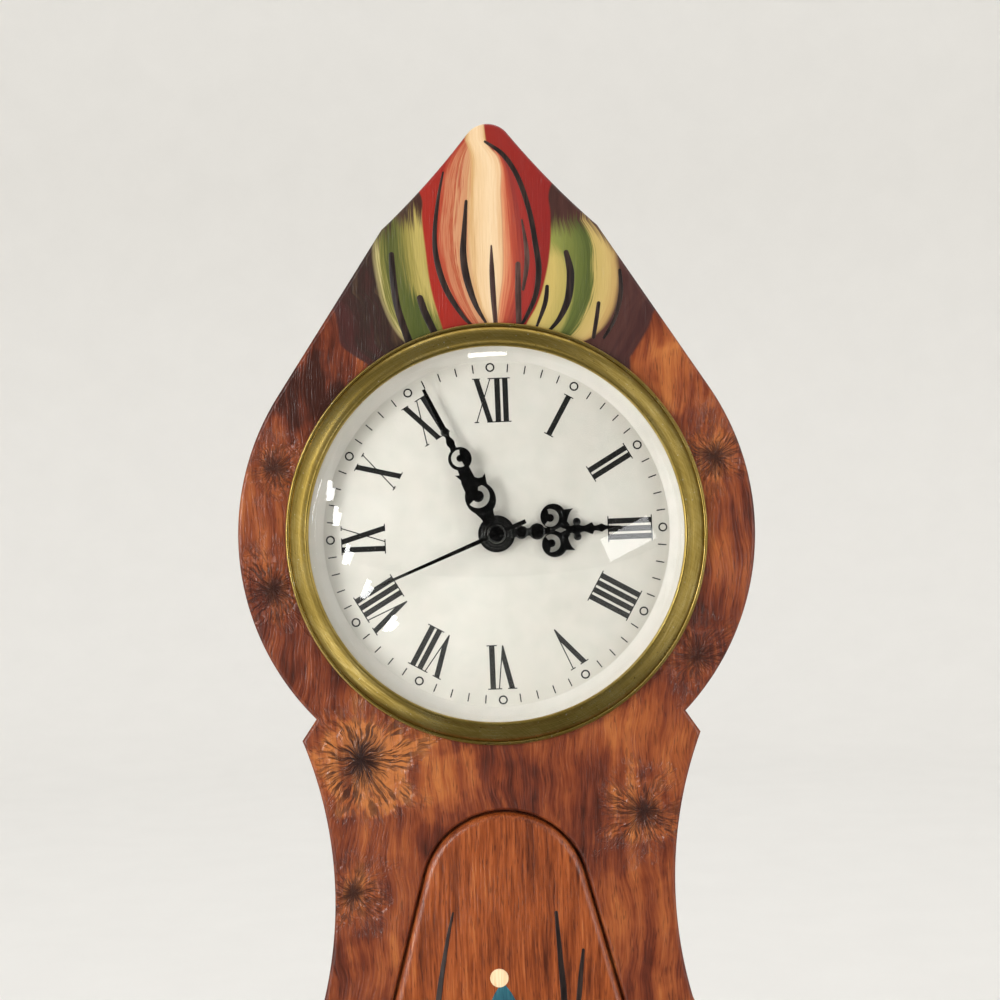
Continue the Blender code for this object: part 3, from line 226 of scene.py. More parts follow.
# Uncoated paper: no shine at all, and a tone that drifts so little that it reads as plain
paper, tree, shader = new_material("matt_paper_cove", Roughness=0.9)
fibre = streaks(tree, drawing_place(tree), 40.0, 40.0, 1.0)
shade = add(tree, "ValToRGB", fibre, stops=[(0.3, "#E8E6E2"), (0.7, "#EAE8E4")])
feed(tree, shader, Base_Color=shade)

places = [(0.0, 0.0, 0.0)]
for step in range(BEND_STEPS + 1):
    turn = step / BEND_STEPS * math.pi / 2
    out = COVE_RADIUS - COVE_BEND + COVE_BEND * math.sin(turn)
    places.append((out, 0.0, COVE_BEND - COVE_BEND * math.cos(turn)))
places.append((COVE_RADIUS, 0.0, COVE_HEIGHT))
cove = new_object("paper_cove", spun(places, (0.0, 0.0, 1.0), COVE_STEPS, COVE_WELD), paper)
cove.data.shade_smooth()
cove.visible_glossy = False
print("cove of", len(cove.data.polygons), "faces")

# %% [markdown]
# A photographer keeps a glass from mirroring the bright room with a black flag, a frame covered in felt that
# stands behind the camera. This one is seen only in mirrors and through glass: it takes no light away from
# the clock and never shows in the picture itself.

# %% Black flag
FLAG_SIZE = 1.7
FLAG_AWAY = 1.2

# Fulled wool: its nap swallows light, so mirrors stay black
felt, tree, shader = new_material("black_wool_felt", Roughness=1.0, Specular_IOR_Level=0.0)
nap = streaks(tree, drawing_place(tree), 2.0, 2.0, 5.0)
shade = add(tree, "ValToRGB", nap, stops=[(0.3, "#050505"), (0.7, "#0B0B0C")])
feed(tree, shader, Base_Color=shade)

bm = bmesh.new()
upright = Matrix.Translation((0.0, -FLAG_AWAY, DIAL_Z)) @ Matrix.Rotation(math.pi / 2, 4, "X")
bmesh.ops.create_grid(bm, x_segments=2, y_segments=2, size=FLAG_SIZE / 2, matrix=upright)
flag = new_object("black_flag", bm, felt)
flag.visible_camera = False
flag.visible_diffuse = False
flag.visible_shadow = False
print(f"flag of {FLAG_SIZE} m, {FLAG_AWAY} m in front of the clock")

# %% [markdown]
# The light is soft and comes mostly from both sides, which brightens the flanks of the brass ring and leaves
# its top and foot deep. Large soft boxes stand outside the angles that the domed glass can mirror. The small
# bright panes inside those angles are there for the glass alone: they leave the marks that show it is domed.
# The tall window on the left throws the hands' shadow, and with the strip on the right it draws the thin
# glints along rounded edges. Three fills only brighten matt surfaces, so they are hidden from mirrors, and
# two cards lift the brass at its lower left and upper right.

# %% Light
AIM = Vector((0.0, FRONT, DIAL_Z))
ROOM_GLOW = 0.34
PANE_AWAY = 0.6
# Turn, lift and roll of each pane of the mirrored window
PANES = ((-38.2, 9.0, 0), (-36.6, 3.7, -4), (-34.3, -4.6, -14), (-30.5, -12.2, -30), (-25.8, -20.0, -42))


def soft_box(name, turn, lift, width, height, glow, distance, roll=0.0):
    """Area light at a turn to the right and a lift above the dial's axis, in degrees, aimed at the dial."""
    data = bpy.data.lights.new(name, "AREA")
    data.shape = "RECTANGLE"
    data.size = width
    data.size_y = height
    data.energy = glow * math.pi * width * height
    turn, lift = math.radians(turn), math.radians(lift)
    away = Vector((math.sin(turn) * math.cos(lift), -math.cos(turn) * math.cos(lift), math.sin(lift)))
    aimed = (-away).to_track_quat("-Z", "Y").to_matrix().to_4x4()
    box = bpy.data.objects.new(name, data)
    rolled = Matrix.Rotation(math.radians(roll), 4, "Z")
    box.matrix_world = Matrix.Translation(AIM + away * distance) @ aimed @ rolled
    box.visible_camera = False
    scene.collection.objects.link(box)
    return box


soft_box("left_window", -46, 8, 0.16, 0.6, 13.0, 1.0)
soft_box("left_box", -66, -6, 0.9, 1.2, 0.42, 1.0)
soft_box("right_strip", 46, 2, 0.12, 0.5, 5.0, 1.0)
soft_box("right_box", 62, -4, 0.9, 1.2, 0.5, 1.0)
matt_box = soft_box("right_fill", 62, -4, 0.9, 1.2, 0.4, 1.05)
top_box = soft_box("top_fill", 0, 52, 1.3, 0.8, 0.55, 1.2)
front_box = soft_box("front_fill", 0, 10, 0.7, 0.7, 1.3, 1.6)
for box in (matt_box, top_box, front_box):
    box.visible_glossy = False
    box.visible_transmission = False
soft_box("low_left_card", -54, -39, 0.15, 0.15, 1.0, 0.3)
soft_box("high_right_card", 54, 39, 0.24, 0.24, 0.7, 0.6)
soft_box("sky_box", 180, 66, 2.4, 2.2, 1.7, 1.9)
soft_box("right_pane", 29.7, -2.7, 0.124, 0.056, 3.4, PANE_AWAY, 25)
soft_box("top_pane", -1.5, 40.4, 0.085, 0.02, 9.0, PANE_AWAY, 4)
for number, (turn, lift, roll) in enumerate(PANES):
    soft_box(f"left_pane_{number}", turn, lift, 0.011, 0.044, 15.0, PANE_AWAY, roll)
    soft_box(f"left_pane_side_{number}", turn + 0.8, lift - 0.7, 0.008, 0.028, 10.0, PANE_AWAY, roll - 9)

world = bpy.data.worlds.new("soft_room")
world.use_nodes = True
room = world.node_tree.nodes["Background"]
room.inputs["Color"].default_value = colour("#BFC3C6")
room.inputs["Strength"].default_value = ROOM_GLOW
scene.world = world
scene.view_settings.view_transform = "Standard"
print(len(bpy.data.lights), "soft boxes and panes")

# %% [markdown]
# The clock's outline is a few arcs and one hollow flank, and so is the pear-shaped panel. Drawing them by
# rule, with a point every millimetre or so, gives boards whose edges stay round up close, and the same paths
# serve the front, the back and the bent walls between them.

# %% Outline of the case
STEP = 1.4
TIP = 97.4
APEX_RADIUS = 6.0
APEX_ANGLE = math.radians(38.5)
APEX_STEP = 0.5
FLANK_STEPS = 24
CREST_CORNER = (25.6, 72.8)
HEAD_RADIUS = 61.4
NOTCH = -43.0
EAR = -48.1
WAIST_CENTRE = (140.4, -84.6)
WAIST_RADIUS = 100.0
BELLY_X = -32.6
BELLY_RADIUS = 90.6


def arc(centre, radius, start, end, step=STEP):
    """Points on a circle between two angles, about a step apart."""
    count = max(2, round(abs(end - start) * radius / step))
    turns = [start + (end - start) * i / count for i in range(count + 1)]
    return [(centre[0] + radius * math.cos(t), centre[1] + radius * math.sin(t)) for t in turns]


def circle(centre, radius, step=STEP):
    """Closed loop on a full circle."""
    return arc(centre, radius, 0.0, 2 * math.pi, step)[:-1]


def mirrored(points):
    """The same points on the other side of the clock's centre line."""
    return [(-x, h) for x, h in points]


def crest_flank():
    """Hollow flank from the tip to the corner of the crest."""
    points = arc((0.0, TIP - APEX_RADIUS), APEX_RADIUS, math.pi / 2, APEX_ANGLE, APEX_STEP)
    start = Vector(points[-1])
    corner = Vector(CREST_CORNER)
    along = Vector((math.sin(APEX_ANGLE), -math.cos(APEX_ANGLE)))
    middle = start + along * ((corner - start).length / 2)
    for i in range(1, FLANK_STEPS + 1):
        t = i / FLANK_STEPS
        points.append(tuple(start * (1 - t) ** 2 + middle * (2 * t * (1 - t)) + corner * t ** 2))
    return points


def head_flank():
    """Straight shoulder and round head, from the crest's corner to the notch."""
    reach = math.hypot(*CREST_CORNER)
    touch = math.atan2(CREST_CORNER[1], CREST_CORNER[0]) - math.acos(HEAD_RADIUS / reach)
    return [CREST_CORNER] + arc((0.0, 0.0), HEAD_RADIUS, touch, math.asin(NOTCH / HEAD_RADIUS))


def waist_flank():
    """Hollow waist and round belly, from the ear under the head to the foot."""
    run = WAIST_CENTRE[0] - BELLY_X
    drop = math.sqrt((WAIST_RADIUS + BELLY_RADIUS) ** 2 - run ** 2)
    belly = (BELLY_X, WAIST_CENTRE[1] - drop)
    ear = math.pi - math.asin((EAR - WAIST_CENTRE[1]) / WAIST_RADIUS)
    meet = math.atan2(drop, run)
    foot = math.asin((FOOT - belly[1]) / BELLY_RADIUS)
    return arc(WAIST_CENTRE, WAIST_RADIUS, ear, math.pi + meet) + arc(belly, BELLY_RADIUS, meet, foot)[1:]


def case_outline():
    """Closed outline of the front and the back board."""
    right = crest_flank() + head_flank()[1:] + waist_flank()
    return right + mirrored(right[1:])[::-1]


print("outline of", len(case_outline()), "points")

# %% [markdown]
# Boards, panel, brush strokes, numerals and hands are all flat pieces with a shaped edge. One helper fills
# the drawn loops with faces, where later loops are holes, extrudes the faces to a thickness and rounds the
# rim that faces the viewer with a bevel. A second one gives the mesh its place, finish and body.

# %% Flat pieces
def fill(bm, loops, rise):
    """Faces inside the first loop and outside the others, at a rise, and the edges of each loop."""
    rims = []
    for loop in loops:
        verts = [bm.verts.new((x, -rise, h)) for x, h in loop]
        rims.append([bm.edges.new(pair) for pair in zip(verts, verts[1:] + verts[:1])])
    if len(loops) == 1:
        return [bm.faces.new(verts)], rims
    made = bmesh.ops.triangle_fill(bm, use_beauty=True, edges=sum(rims, []), normal=(0.0, -1.0, 0.0))
    return [item for item in made["geom"] if isinstance(item, bmesh.types.BMFace)], rims


def extrude(bm, faces, distance, sink=False):
    """Extrude faces backward by a distance. Sunk faces leave none behind, others stay as the front."""
    grown = bmesh.ops.extrude_face_region(bm, geom=faces)["geom"]
    moved = [item for item in grown if isinstance(item, bmesh.types.BMVert)]
    bmesh.ops.translate(bm, verts=moved, vec=(0.0, distance, 0.0))
    if sink:
        bmesh.ops.delete(bm, geom=faces, context="FACES_ONLY")
    bmesh.ops.recalc_face_normals(bm, faces=bm.faces[:])


def round_edges(bm, edges, radius, segments):
    """Bevel edges to a radius."""
    bmesh.ops.bevel(
        bm, geom=edges, offset=radius, segments=segments, profile=0.5, affect="EDGES", material=-1,
    )


def flat_piece(loops, rise, back, radius=0.0, segments=4, bm=None):
    """Plate between two rises, with a rounded front rim. It joins a mesh that is passed in."""
    plate = bmesh.new()
    faces, rims = fill(plate, loops, rise)
    extrude(plate, faces, rise - back)
    if radius > 0:
        round_edges(plate, sum(rims, []), radius, segments)
    if bm is None:
        return plate
    part = bpy.data.meshes.new("part")
    plate.to_mesh(part)
    plate.free()
    bm.from_mesh(part)
    bpy.data.meshes.remove(part)
    return bm


def make_piece(name, bm, material, body="case", stands_for=(), angle=35.0, even=False):
    """Put a drawn mesh in its place in the frame and let it ride on a body."""
    bmesh.ops.transform(bm, matrix=DRAWING, verts=bm.verts[:])
    item = new_object(name, bm, material)
    item.data.shade_smooth()
    item.data.set_sharp_from_angle(angle=math.radians(angle))
    if even:
        normals = item.modifiers.new("even normals", "WEIGHTED_NORMAL")
        normals.keep_sharp = True
        normals.weight = 100
    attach(item, body)
    if stands_for:
        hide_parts(*stands_for)
    print(name, "has", len(item.data.polygons), "faces")
    return item


# %% [markdown]
# The case imitates burl walnut: a painter drew streaks of brown glaze over an orange ground, dabbed eyes into
# it while it was wet, and varnished the lot. An eye is a dark spot with rays, so it is drawn in polar terms:
# how far from the eye, and in which direction. Noise that changes mostly with the direction gives rays, and a
# slower change outward breaks them into wrinkles. A dozen eyes would make a heavy shader, so each point first
# picks its nearest eye and the rays are drawn just once, around that one.

# %% Burl eyes
RAY_COUNT = 13.0
RAY_BREAKS = 5.0
RIPPLES = 7.0
EYE_WOBBLE = 1.7
EYE_SEED = 5.3
BLOT_REACH = 1.3
FAR = 9.0
# x, h and radius of each eye, how dark it is, and how much paler the glaze around it
FRONT_EYES = (
    (-33.4, -53.2, 22.0, 1.0, 0.17), (-36.3, -84.6, 13.0, 0.9, 0.05), (33.0, -66.8, 16.0, 0.9, 0.09),
    (47.0, -30.0, 14.0, 0.8, 0.04), (-53.0, -12.0, 15.0, 0.9, 0.05), (-52.0, 17.0, 12.0, 0.8, 0.04),
    (52.0, 17.0, 14.0, 0.9, 0.06), (-44.0, -136.0, 13.0, 0.8, 0.08), (47.0, -128.0, 12.0, 0.7, 0.04),
    (44.0, -176.0, 14.0, 0.9, 0.10), (-46.0, -182.0, 12.0, 0.7, 0.04),
)
# x, h and radius of each cloud in the glaze, and how it changes the tone
FRONT_CLOUDS = (
    (-12.0, -57.0, 13.0, 0.10), (32.0, -78.0, 12.0, 0.05), (43.0, 36.0, 15.0, 0.10),
    (30.0, -49.0, 12.0, 0.05), (4.0, -62.0, 13.0, -0.05), (-17.0, -73.0, 9.0, -0.06),
    (38.9, -101.2, 10.0, -0.04), (-45.0, 33.0, 17.0, -0.13), (22.0, -78.0, 9.0, -0.06),
    (-30.0, -101.0, 13.0, 0.06),
)


def wet_place(tree, place):
    """Places that wander as a dab in wet glaze does, and the blots that make the edge of a dab ragged."""
    moved = wander(tree, place, 0.16, (2 * EYE_WOBBLE,) * 3)
    return moved, add(tree, "TexNoise", place, sockets={"Scale": 0.15, "Detail": 3.0})


def offset_from(tree, place, x, h, radius):
    """Offset of a place from a spot, and its length, both as a share of the spot's radius."""
    size = (1 / radius, 0.0, 1 / radius)
    centre = (-x / radius, 0.0, -h / radius)
    offset = add(tree, "VectorMath", place, size, centre, operation="MULTIPLY_ADD")
    return offset, add(tree, "VectorMath", offset, operation="LENGTH", out="Value")


def nearest_eye(tree, place, eyes):
    """Offset from the nearest eye, its length, and that eye's force, paleness and seed."""
    nearest, reach, values = (FAR, 0.0, FAR), FAR, (0.0, 0.0, 0.0)
    for number, (x, h, radius, force, pale) in enumerate(eyes):
        own = (force, pale, EYE_SEED * number)
        offset, length = offset_from(tree, place, x, h, radius)
        closer = add(tree, "Math", length, reach, operation="LESS_THAN")
        nearest = add(tree, "Mix", sockets={0: closer, 4: nearest, 5: offset}, data_type="VECTOR", out=1)
        values = add(tree, "Mix", sockets={0: closer, 4: values, 5: own}, data_type="VECTOR", out=1)
        reach = add(tree, "Math", length, reach, operation="MINIMUM")
    return nearest, reach, add(tree, "SeparateXYZ", values).node.outputs


def burl_eyes(tree, place, blot, eyes):
    """Darkness, ridges and paleness of the dabbed eyes."""
    offset, reach, (force, pale, seed) = nearest_eye(tree, place, eyes)
    heading = add(tree, "VectorMath", offset, operation="NORMALIZE")
    outward = add(tree, "CombineXYZ", 0.0, reach, seed)
    broken = add(tree, "VectorMath", offset, (RAY_BREAKS,) * 3, outward, operation="MULTIPLY_ADD")
    wheel = add(tree, "VectorMath", heading, (RAY_COUNT,) * 3, broken, operation="MULTIPLY_ADD")
    rays = add(tree, "TexNoise", wheel, sockets={"Scale": 1.0, "Detail": 2.5, "Roughness": 0.55})
    ragged = add(tree, "Math", blot, BLOT_REACH, reach, operation="MULTIPLY_ADD")
    patch = add(tree, "MapRange", ragged, 1.05, 1.32, 1.0, 0.0, interpolation_type="SMOOTHSTEP")
    line = add(tree, "MapRange", rays, 0.42, 0.52, 1.0, 0.0)
    fade = add(tree, "MapRange", ragged, 0.95, 1.45, 1.0, 0.0)
    drawn = add(tree, "Math", line, fade, operation="MULTIPLY")
    core = add(tree, "Math", rays, 0.6, reach, operation="MULTIPLY_ADD")
    core = add(tree, "MapRange", core, 0.37, 0.72, 1.0, 0.0, interpolation_type="SMOOTHSTEP")
    dark = add(tree, "Math", drawn, 0.85, operation="MULTIPLY")
    dark = add(tree, "Math", dark, core, operation="MAXIMUM")
    dark = add(tree, "Math", dark, force, operation="MULTIPLY")
    rings = add(tree, "VectorMath", outward, (1.0, RIPPLES, 1.0), operation="MULTIPLY")
    rings = add(tree, "VectorMath", heading, (2.4, 2.4, 2.4), rings, operation="MULTIPLY_ADD")
    ripple = add(tree, "TexNoise", rings, sockets={"Scale": 1.0, "Detail": 1.0})
    ripple = add(tree, "MapRange", ripple, 0.42, 0.56, 0.7, 0.0)
    ripple = add(tree, "Math", ripple, patch, operation="MULTIPLY")
    ridge = add(tree, "Math", ripple, drawn, operation="MAXIMUM")
    return dark, ridge, add(tree, "Math", patch, pale, operation="MULTIPLY")


print(len(FRONT_EYES), "eyes and", len(FRONT_CLOUDS), "clouds on the front")

# %% [markdown]
# The wood finish adds three sizes of streak to make the glaze's tone, darkens it with the eyes, and lets the
# ridges that the dabbing left stand up under the varnish. The varnish is the shader's clear coat.

# %% Burl glaze
GLAZE_TONES = [(0.36, "#3C1A10"), (0.45, "#642B18"), (0.52, "#7F3C1E"), (0.59, "#985027"), (0.70, "#B56C36")]
EYE_BROWN = "#2E1610"
GLAZE_MIX = (0.22, 0.36, 0.44)
SIDE_MIX = (0.32, 0.42, 0.28)


def glaze_tone(tree, place, seed, sway_by, mix):
    """Tone of the grained glaze, from 0, dark, to 1, pale, and its fine streaks, which sway."""
    swayed = wander(tree, place, 0.035, (2 * sway_by, 0.0, 0.0))
    fine = streaks(tree, swayed, 0.42, 9.0, seed)
    wide = streaks(tree, swayed, 2.6, 30.0, seed + 1)
    cloud = streaks(tree, swayed, 10.0, 19.0, seed + 2)
    return weighed_sum(tree, (fine, mix[0]), (wide, mix[1]), (cloud, mix[2])), fine


def burl_glaze(
    name, eyes=(), clouds=(), seed=1.0, tones=GLAZE_TONES, mix=GLAZE_MIX, paint=None, lying=False, sway=5.0,
    varnish=0.6,
):
    """Oil glaze with burl eyes under brushed varnish: soft gloss, with ridges where the glaze was dabbed."""
    material, tree, shader = new_material(
        name, Coat_Weight=varnish, Coat_Roughness=0.12, Specular_IOR_Level=0.25,
    )
    place = drawing_place(tree)
    if lying:
        place = add(tree, "Mapping", place, (0.0, 0.0, 0.0), (0.0, math.pi / 2, 0.0))
    tone, fine = glaze_tone(tree, place, seed, sway, mix)
    pores = streaks(tree, place, 0.3, 3.2, seed + 3, 1.0)
    dark = add(tree, "MapRange", pores, 0.30, 0.40, 0.5, 0.0)
    height = fine
    moved, blot = wet_place(tree, place)
    if eyes:
        stain, ridge, pale = burl_eyes(tree, moved, blot, eyes)
        dark = add(tree, "Math", dark, stain, operation="MAXIMUM")
        tone = add(tree, "Math", tone, pale, operation="ADD")
        height = add(tree, "Math", ridge, -3.5, height, operation="MULTIPLY_ADD")
    for x, h, radius, change in clouds:
        reach = offset_from(tree, moved, x, h, radius)[1]
        ragged = add(tree, "Math", blot, BLOT_REACH, reach, operation="MULTIPLY_ADD")
        cloud = add(tree, "MapRange", ragged, 0.95, 1.38, change, 0.0, interpolation_type="SMOOTHSTEP")
        tone = add(tree, "Math", tone, cloud, operation="ADD")
    shade = add(tree, "ValToRGB", tone, stops=tones)
    shade = add(tree, "Mix", sockets={0: dark, 6: shade, 7: colour(EYE_BROWN)}, data_type="RGBA", out=2)
    if paint:
        shade, height = paint(tree, place, shade, height)
    rough = add(tree, "MapRange", fine, 0.3, 0.7, 0.30, 0.46)
    feed(tree, shader, Base_Color=shade, Roughness=rough)
    relief(tree, shader, height, 0.2, 0.7)
    return material


# %% [markdown]
# The crest carries a folk tulip between two leaves. A painter lays such a flower in bands of wet colour that
# run from the tip to the foot, so each band here is the space between two drawn edges. Each edge is a curve
# of a few points from height to side, and the place between the two edges picks the colour, which makes the
# brush streaks follow the petal. Bands are laid one over another, as on the real one.

# %% Crest paint
PAINT_SPAN = (-50.0, 100.0)
PAINT_FOOT = 30.0
DRY_BRUSH = 2.2
LEFT_TUCK = ((44.0, -8.0), (60.0, -12.0), (76.0, -14.0))
RIGHT_TUCK = ((46.0, 6.0), (50.0, 8.0), (60.0, 12.0), (76.0, 14.0))
CREAM_EDGE = ((49.0, 1.2), (55.3, 2.1), (61.3, 3.0), (70.3, 3.2), (80.3, 3.0), (88.8, 2.7))
# Edges of a band are (h, x) points, a top is (x, h) points, and tones run from the left edge to the right
BANDS = (
    dict(
        name="ground", lines=46.0, wobble=0.5, soft=0.35,
        left=((41.0, -29.5), (43.5, -33.4), (45.6, -35.7), (49.8, -36.5), (53.9, -37.4), (58.0, -41.0)),
        right=((41.0, 32.6), (45.8, 35.8), (48.6, 37.4), (52.1, 38.7), (56.0, 42.0)),
        tones=((0.0, "#452522"), (0.14, "#342520"), (0.24, "#4C3829"), (0.34, "#412820"), (0.6, "#3E2520"),
               (0.86, "#4E2F2A"), (1.0, "#422624")),
    ),
    dict(
        name="left_leaf", lines=44.0, wobble=0.42, soft=0.7, feather=7.0,
        left=((43.5, -18.0), (45.5, -19.8), (47.8, -21.9), (54.5, -25.2), (60.4, -26.6), (66.0, -27.4)),
        right=LEFT_TUCK,
        top=((-28.0, 69.5), (-26.2, 71.3), (-21.6, 73.8), (-16.0, 76.0)),
        tones=((0.0, "#BDAE77"), (0.10, "#7A7639"), (0.22, "#4B5125"), (0.42, "#5B5E2B"), (0.56, "#8B803E"),
               (0.72, "#AF9E58"), (0.86, "#AA9953"), (1.0, "#8B7C41")),
    ),
    dict(
        name="left_leaf_foot", lines=20.0, wobble=0.5, soft=0.5, feather=6.0,
        left=((43.5, -18.5), (48.0, -20.2), (54.0, -21.2), (60.0, -21.4)),
        right=LEFT_TUCK,
        top=((-22.0, 60.0), (-18.0, 57.0), (-13.0, 53.0)),
        tones=((0.0, "#555B28"), (0.4, "#475122"), (0.7, "#64672E"), (1.0, "#928743")),
    ),
    dict(
        name="right_leaf", lines=44.0, wobble=0.24, soft=0.6, feather=5.0,
        left=RIGHT_TUCK,
        right=((44.5, 19.0), (46.1, 23.6), (50.3, 27.7), (57.8, 30.1), (64.3, 30.0), (68.3, 29.2),
               (74.0, 25.0)),
        top=((13.0, 72.2), (18.8, 73.0), (23.3, 73.4), (26.7, 70.4), (30.1, 66.4)),
        tones=((0.0, "#878A43"), (0.2, "#7A7F3C"), (0.36, "#6B7135"), (0.5, "#5C652E"), (0.63, "#495325"),
               (0.67, "#5F662E"), (0.71, "#B49D5B"), (0.86, "#BDA364"), (1.0, "#AE8C55")),
    ),
    dict(
        name="right_leaf_heart", lines=16.0, wobble=0.4, soft=0.5, feather=3.0,
        left=RIGHT_TUCK,
        right=((46.0, 15.5), (52.0, 18.5), (58.0, 19.6), (63.0, 19.0), (68.0, 16.0), (72.0, 13.0)),
        top=((13.0, 66.0), (17.0, 67.5), (21.0, 64.0)),
        tones=((0.0, "#B7A057"), (0.4, "#BBA55E"), (0.75, "#A89853"), (1.0, "#8E8A46")),
    ),
    dict(
        name="tulip", lines=40.0, wobble=0.3, soft=0.2,
        left=((46.0, -10.9), (48.4, -11.5), (57.8, -14.0), (68.3, -15.3), (75.3, -15.9), (80.5, -16.0),
              (85.0, -20.0)),
        right=((46.0, 6.5), (49.9, 8.5), (53.8, 10.8), (60.3, 13.0), (68.3, 14.4), (75.3, 14.6), (81.3, 14.5),
               (86.0, 18.0)),
        tones=((0.0, "#9A2418"), (0.5, "#8C231A"), (1.0, "#841E1A")),
    ),
    dict(
        name="left_petal", lines=22.0, wobble=0.55, soft=0.2,
        left=((48.0, -3.5), (51.8, -6.7), (57.3, -10.1), (63.3, -12.2), (70.3, -13.0), (79.3, -12.0),
              (86.0, -10.6), (91.0, -8.0), (95.0, -4.0), (97.0, -1.5)),
        right=((48.0, 1.2), (60.0, 0.0), (90.0, 0.0), (97.0, -0.8)),
        tones=((0.0, "#9C2F1D"), (0.10, "#AA4B32"), (0.22, "#BB7855"), (0.32, "#A64D31"), (0.42, "#C38D66"),
               (0.55, "#BE815B"), (0.62, "#C69D70"), (0.8, "#C29768"), (1.0, "#C49C5D")),
    ),
    dict(
        name="cream", lines=18.0, wobble=0.7, soft=0.3,
        left=((49.0, -0.3), (57.8, -3.6), (67.8, -4.7), (80.3, -4.3), (86.0, -4.0), (90.0, -4.1),
              (93.5, -5.2)),
        right=(*CREAM_EDGE, (92.0, 0.3), (94.0, -0.8)),
        tones=((0.0, "#C69D68"), (0.22, "#D9B88C"), (0.65, "#E2C69F"), (1.0, "#D4AD81")),
    ),
    dict(
        name="right_petal", lines=18.0, wobble=0.45, soft=0.2,
        left=(*CREAM_EDGE, (91.0, 1.5)),
        right=((48.5, 6.4), (51.3, 8.3), (56.3, 10.6), (62.3, 11.5), (68.3, 10.9), (76.3, 9.6), (84.3, 7.1),
               (89.8, 3.7), (92.0, 1.0)),
        tones=((0.0, "#D09268"), (0.16, "#C06D4C"), (0.30, "#A84630"), (0.55, "#873029"), (0.8, "#952922"),
               (1.0, "#86221D")),
    ),
)


def drawn_curve(tree, along, points):
    """Smooth curve through a few (along, aside) points, both in millimetres."""
    low, high = PAINT_SPAN
    share = add(tree, "MapRange", along, low, high, 0.0, 1.0)
    curve = add(tree, "FloatCurve", 1.0, share)
    mapping = curve.node.mapping
    line = mapping.curves[0].points
    for index, (place, aside) in enumerate(sorted(points)):
        spot = ((place - low) / (high - low), (aside - low) / (high - low))
        if index < 2:
            line[index].location = spot
        else:
            line.new(*spot)
    mapping.extend = "HORIZONTAL"
    mapping.update()
    return add(tree, "MapRange", curve, 0.0, 1.0, low, high)


def paint_band(tree, place, under, band, seed):
    """Lay one band of brush colour over what is under it."""
    split = add(tree, "SeparateXYZ", place).node
    side, up = split.outputs["X"], split.outputs["Z"]
    from_left = add(tree, "Math", side, drawn_curve(tree, up, band["left"]), operation="SUBTRACT")
    from_right = add(tree, "Math", drawn_curve(tree, up, band["right"]), side, operation="SUBTRACT")
    width = add(tree, "Math", from_left, from_right, operation="ADD")
    across = add(tree, "Math", from_left, width, operation="DIVIDE")
    lane = add(tree, "Math", across, band["lines"], operation="MULTIPLY")
    run = add(tree, "Math", up, 0.09, operation="MULTIPLY")
    brush = add(tree, "CombineXYZ", lane, seed * 9.7, run)
    hair = add(tree, "TexNoise", brush, sockets={"Scale": 1.0, "Detail": 3.0, "Roughness": 0.6})
    inside = add(tree, "Math", from_left, from_right, operation="MINIMUM")
    above = add(tree, "Math", up, PAINT_FOOT, operation="SUBTRACT")
    inside = add(tree, "Math", inside, above, operation="MINIMUM")
    if "top" in band:
        below = add(tree, "Math", drawn_curve(tree, side, band["top"]), up, operation="SUBTRACT")
        ragged = add(tree, "MapRange", hair, 0.3, 0.7, -band["feather"] / 2, band["feather"] / 2)
        below = add(tree, "Math", below, ragged, operation="ADD")
        dry = add(tree, "MapRange", below, -DRY_BRUSH, DRY_BRUSH, -band["soft"], band["soft"])
        inside = add(tree, "Math", inside, dry, operation="MINIMUM")
    cover = add(tree, "MapRange", inside, -band["soft"], band["soft"], 0.0, 1.0)
    mixed = add(tree, "Math", hair, 0.5, operation="SUBTRACT")
    mixed = add(tree, "Math", mixed, band["wobble"], across, operation="MULTIPLY_ADD")
    tint = add(tree, "ValToRGB", mixed, stops=band["tones"])
    return add(tree, "Mix", sockets={0: cover, 6: under, 7: tint}, data_type="RGBA", out=2)


def crest_paint(tree, place, shade, height):
    """All bands of the tulip and its leaves, worn through to the wood along the board's rounded edge."""
    wood = shade
    for number, band in enumerate(BANDS, 1):
        shade = paint_band(tree, place, shade, band, number)
    painted = add(tree, "SeparateXYZ", place, out="Z")
    painted = add(tree, "MapRange", painted, 44.0, 52.0, 0.0, 1.0)
    bristles = streaks(tree, place, 0.4, 12.0, 9.0)
    height = add(tree, "Mix", sockets={0: painted, 2: height, 3: bristles}, data_type="FLOAT")
    edge = add(tree, "SeparateXYZ", place, out="Y")
    worn = add(tree, "TexNoise", place, sockets={"Scale": 0.45, "Detail": 4.0})
    worn = add(tree, "Math", worn, 2.6, edge, operation="MULTIPLY_ADD")
    worn = add(tree, "MapRange", worn, 1.9, 2.3, 0.0, 1.0)
    return add(tree, "Mix", sockets={0: worn, 6: shade, 7: wood}, data_type="RGBA", out=2), height


painted_front = burl_glaze("painted_burl_glaze_under_varnish", FRONT_EYES, FRONT_CLOUDS, paint=crest_paint)
side_glaze = burl_glaze("side_burl_glaze_under_varnish", seed=4.0, mix=SIDE_MIX)
print("front finish of", len(painted_front.node_tree.nodes), "nodes")

# %% [markdown]
# The front board is one solid: its outline, the round hole for the dial and a shallow pocket for the panel.
# The pocket's loop is filled as a face of its own, so extruding just that face backward sinks it. Both the
# outer edge and the pocket's rim are rounded, because varnish pools there and catches a bright line.

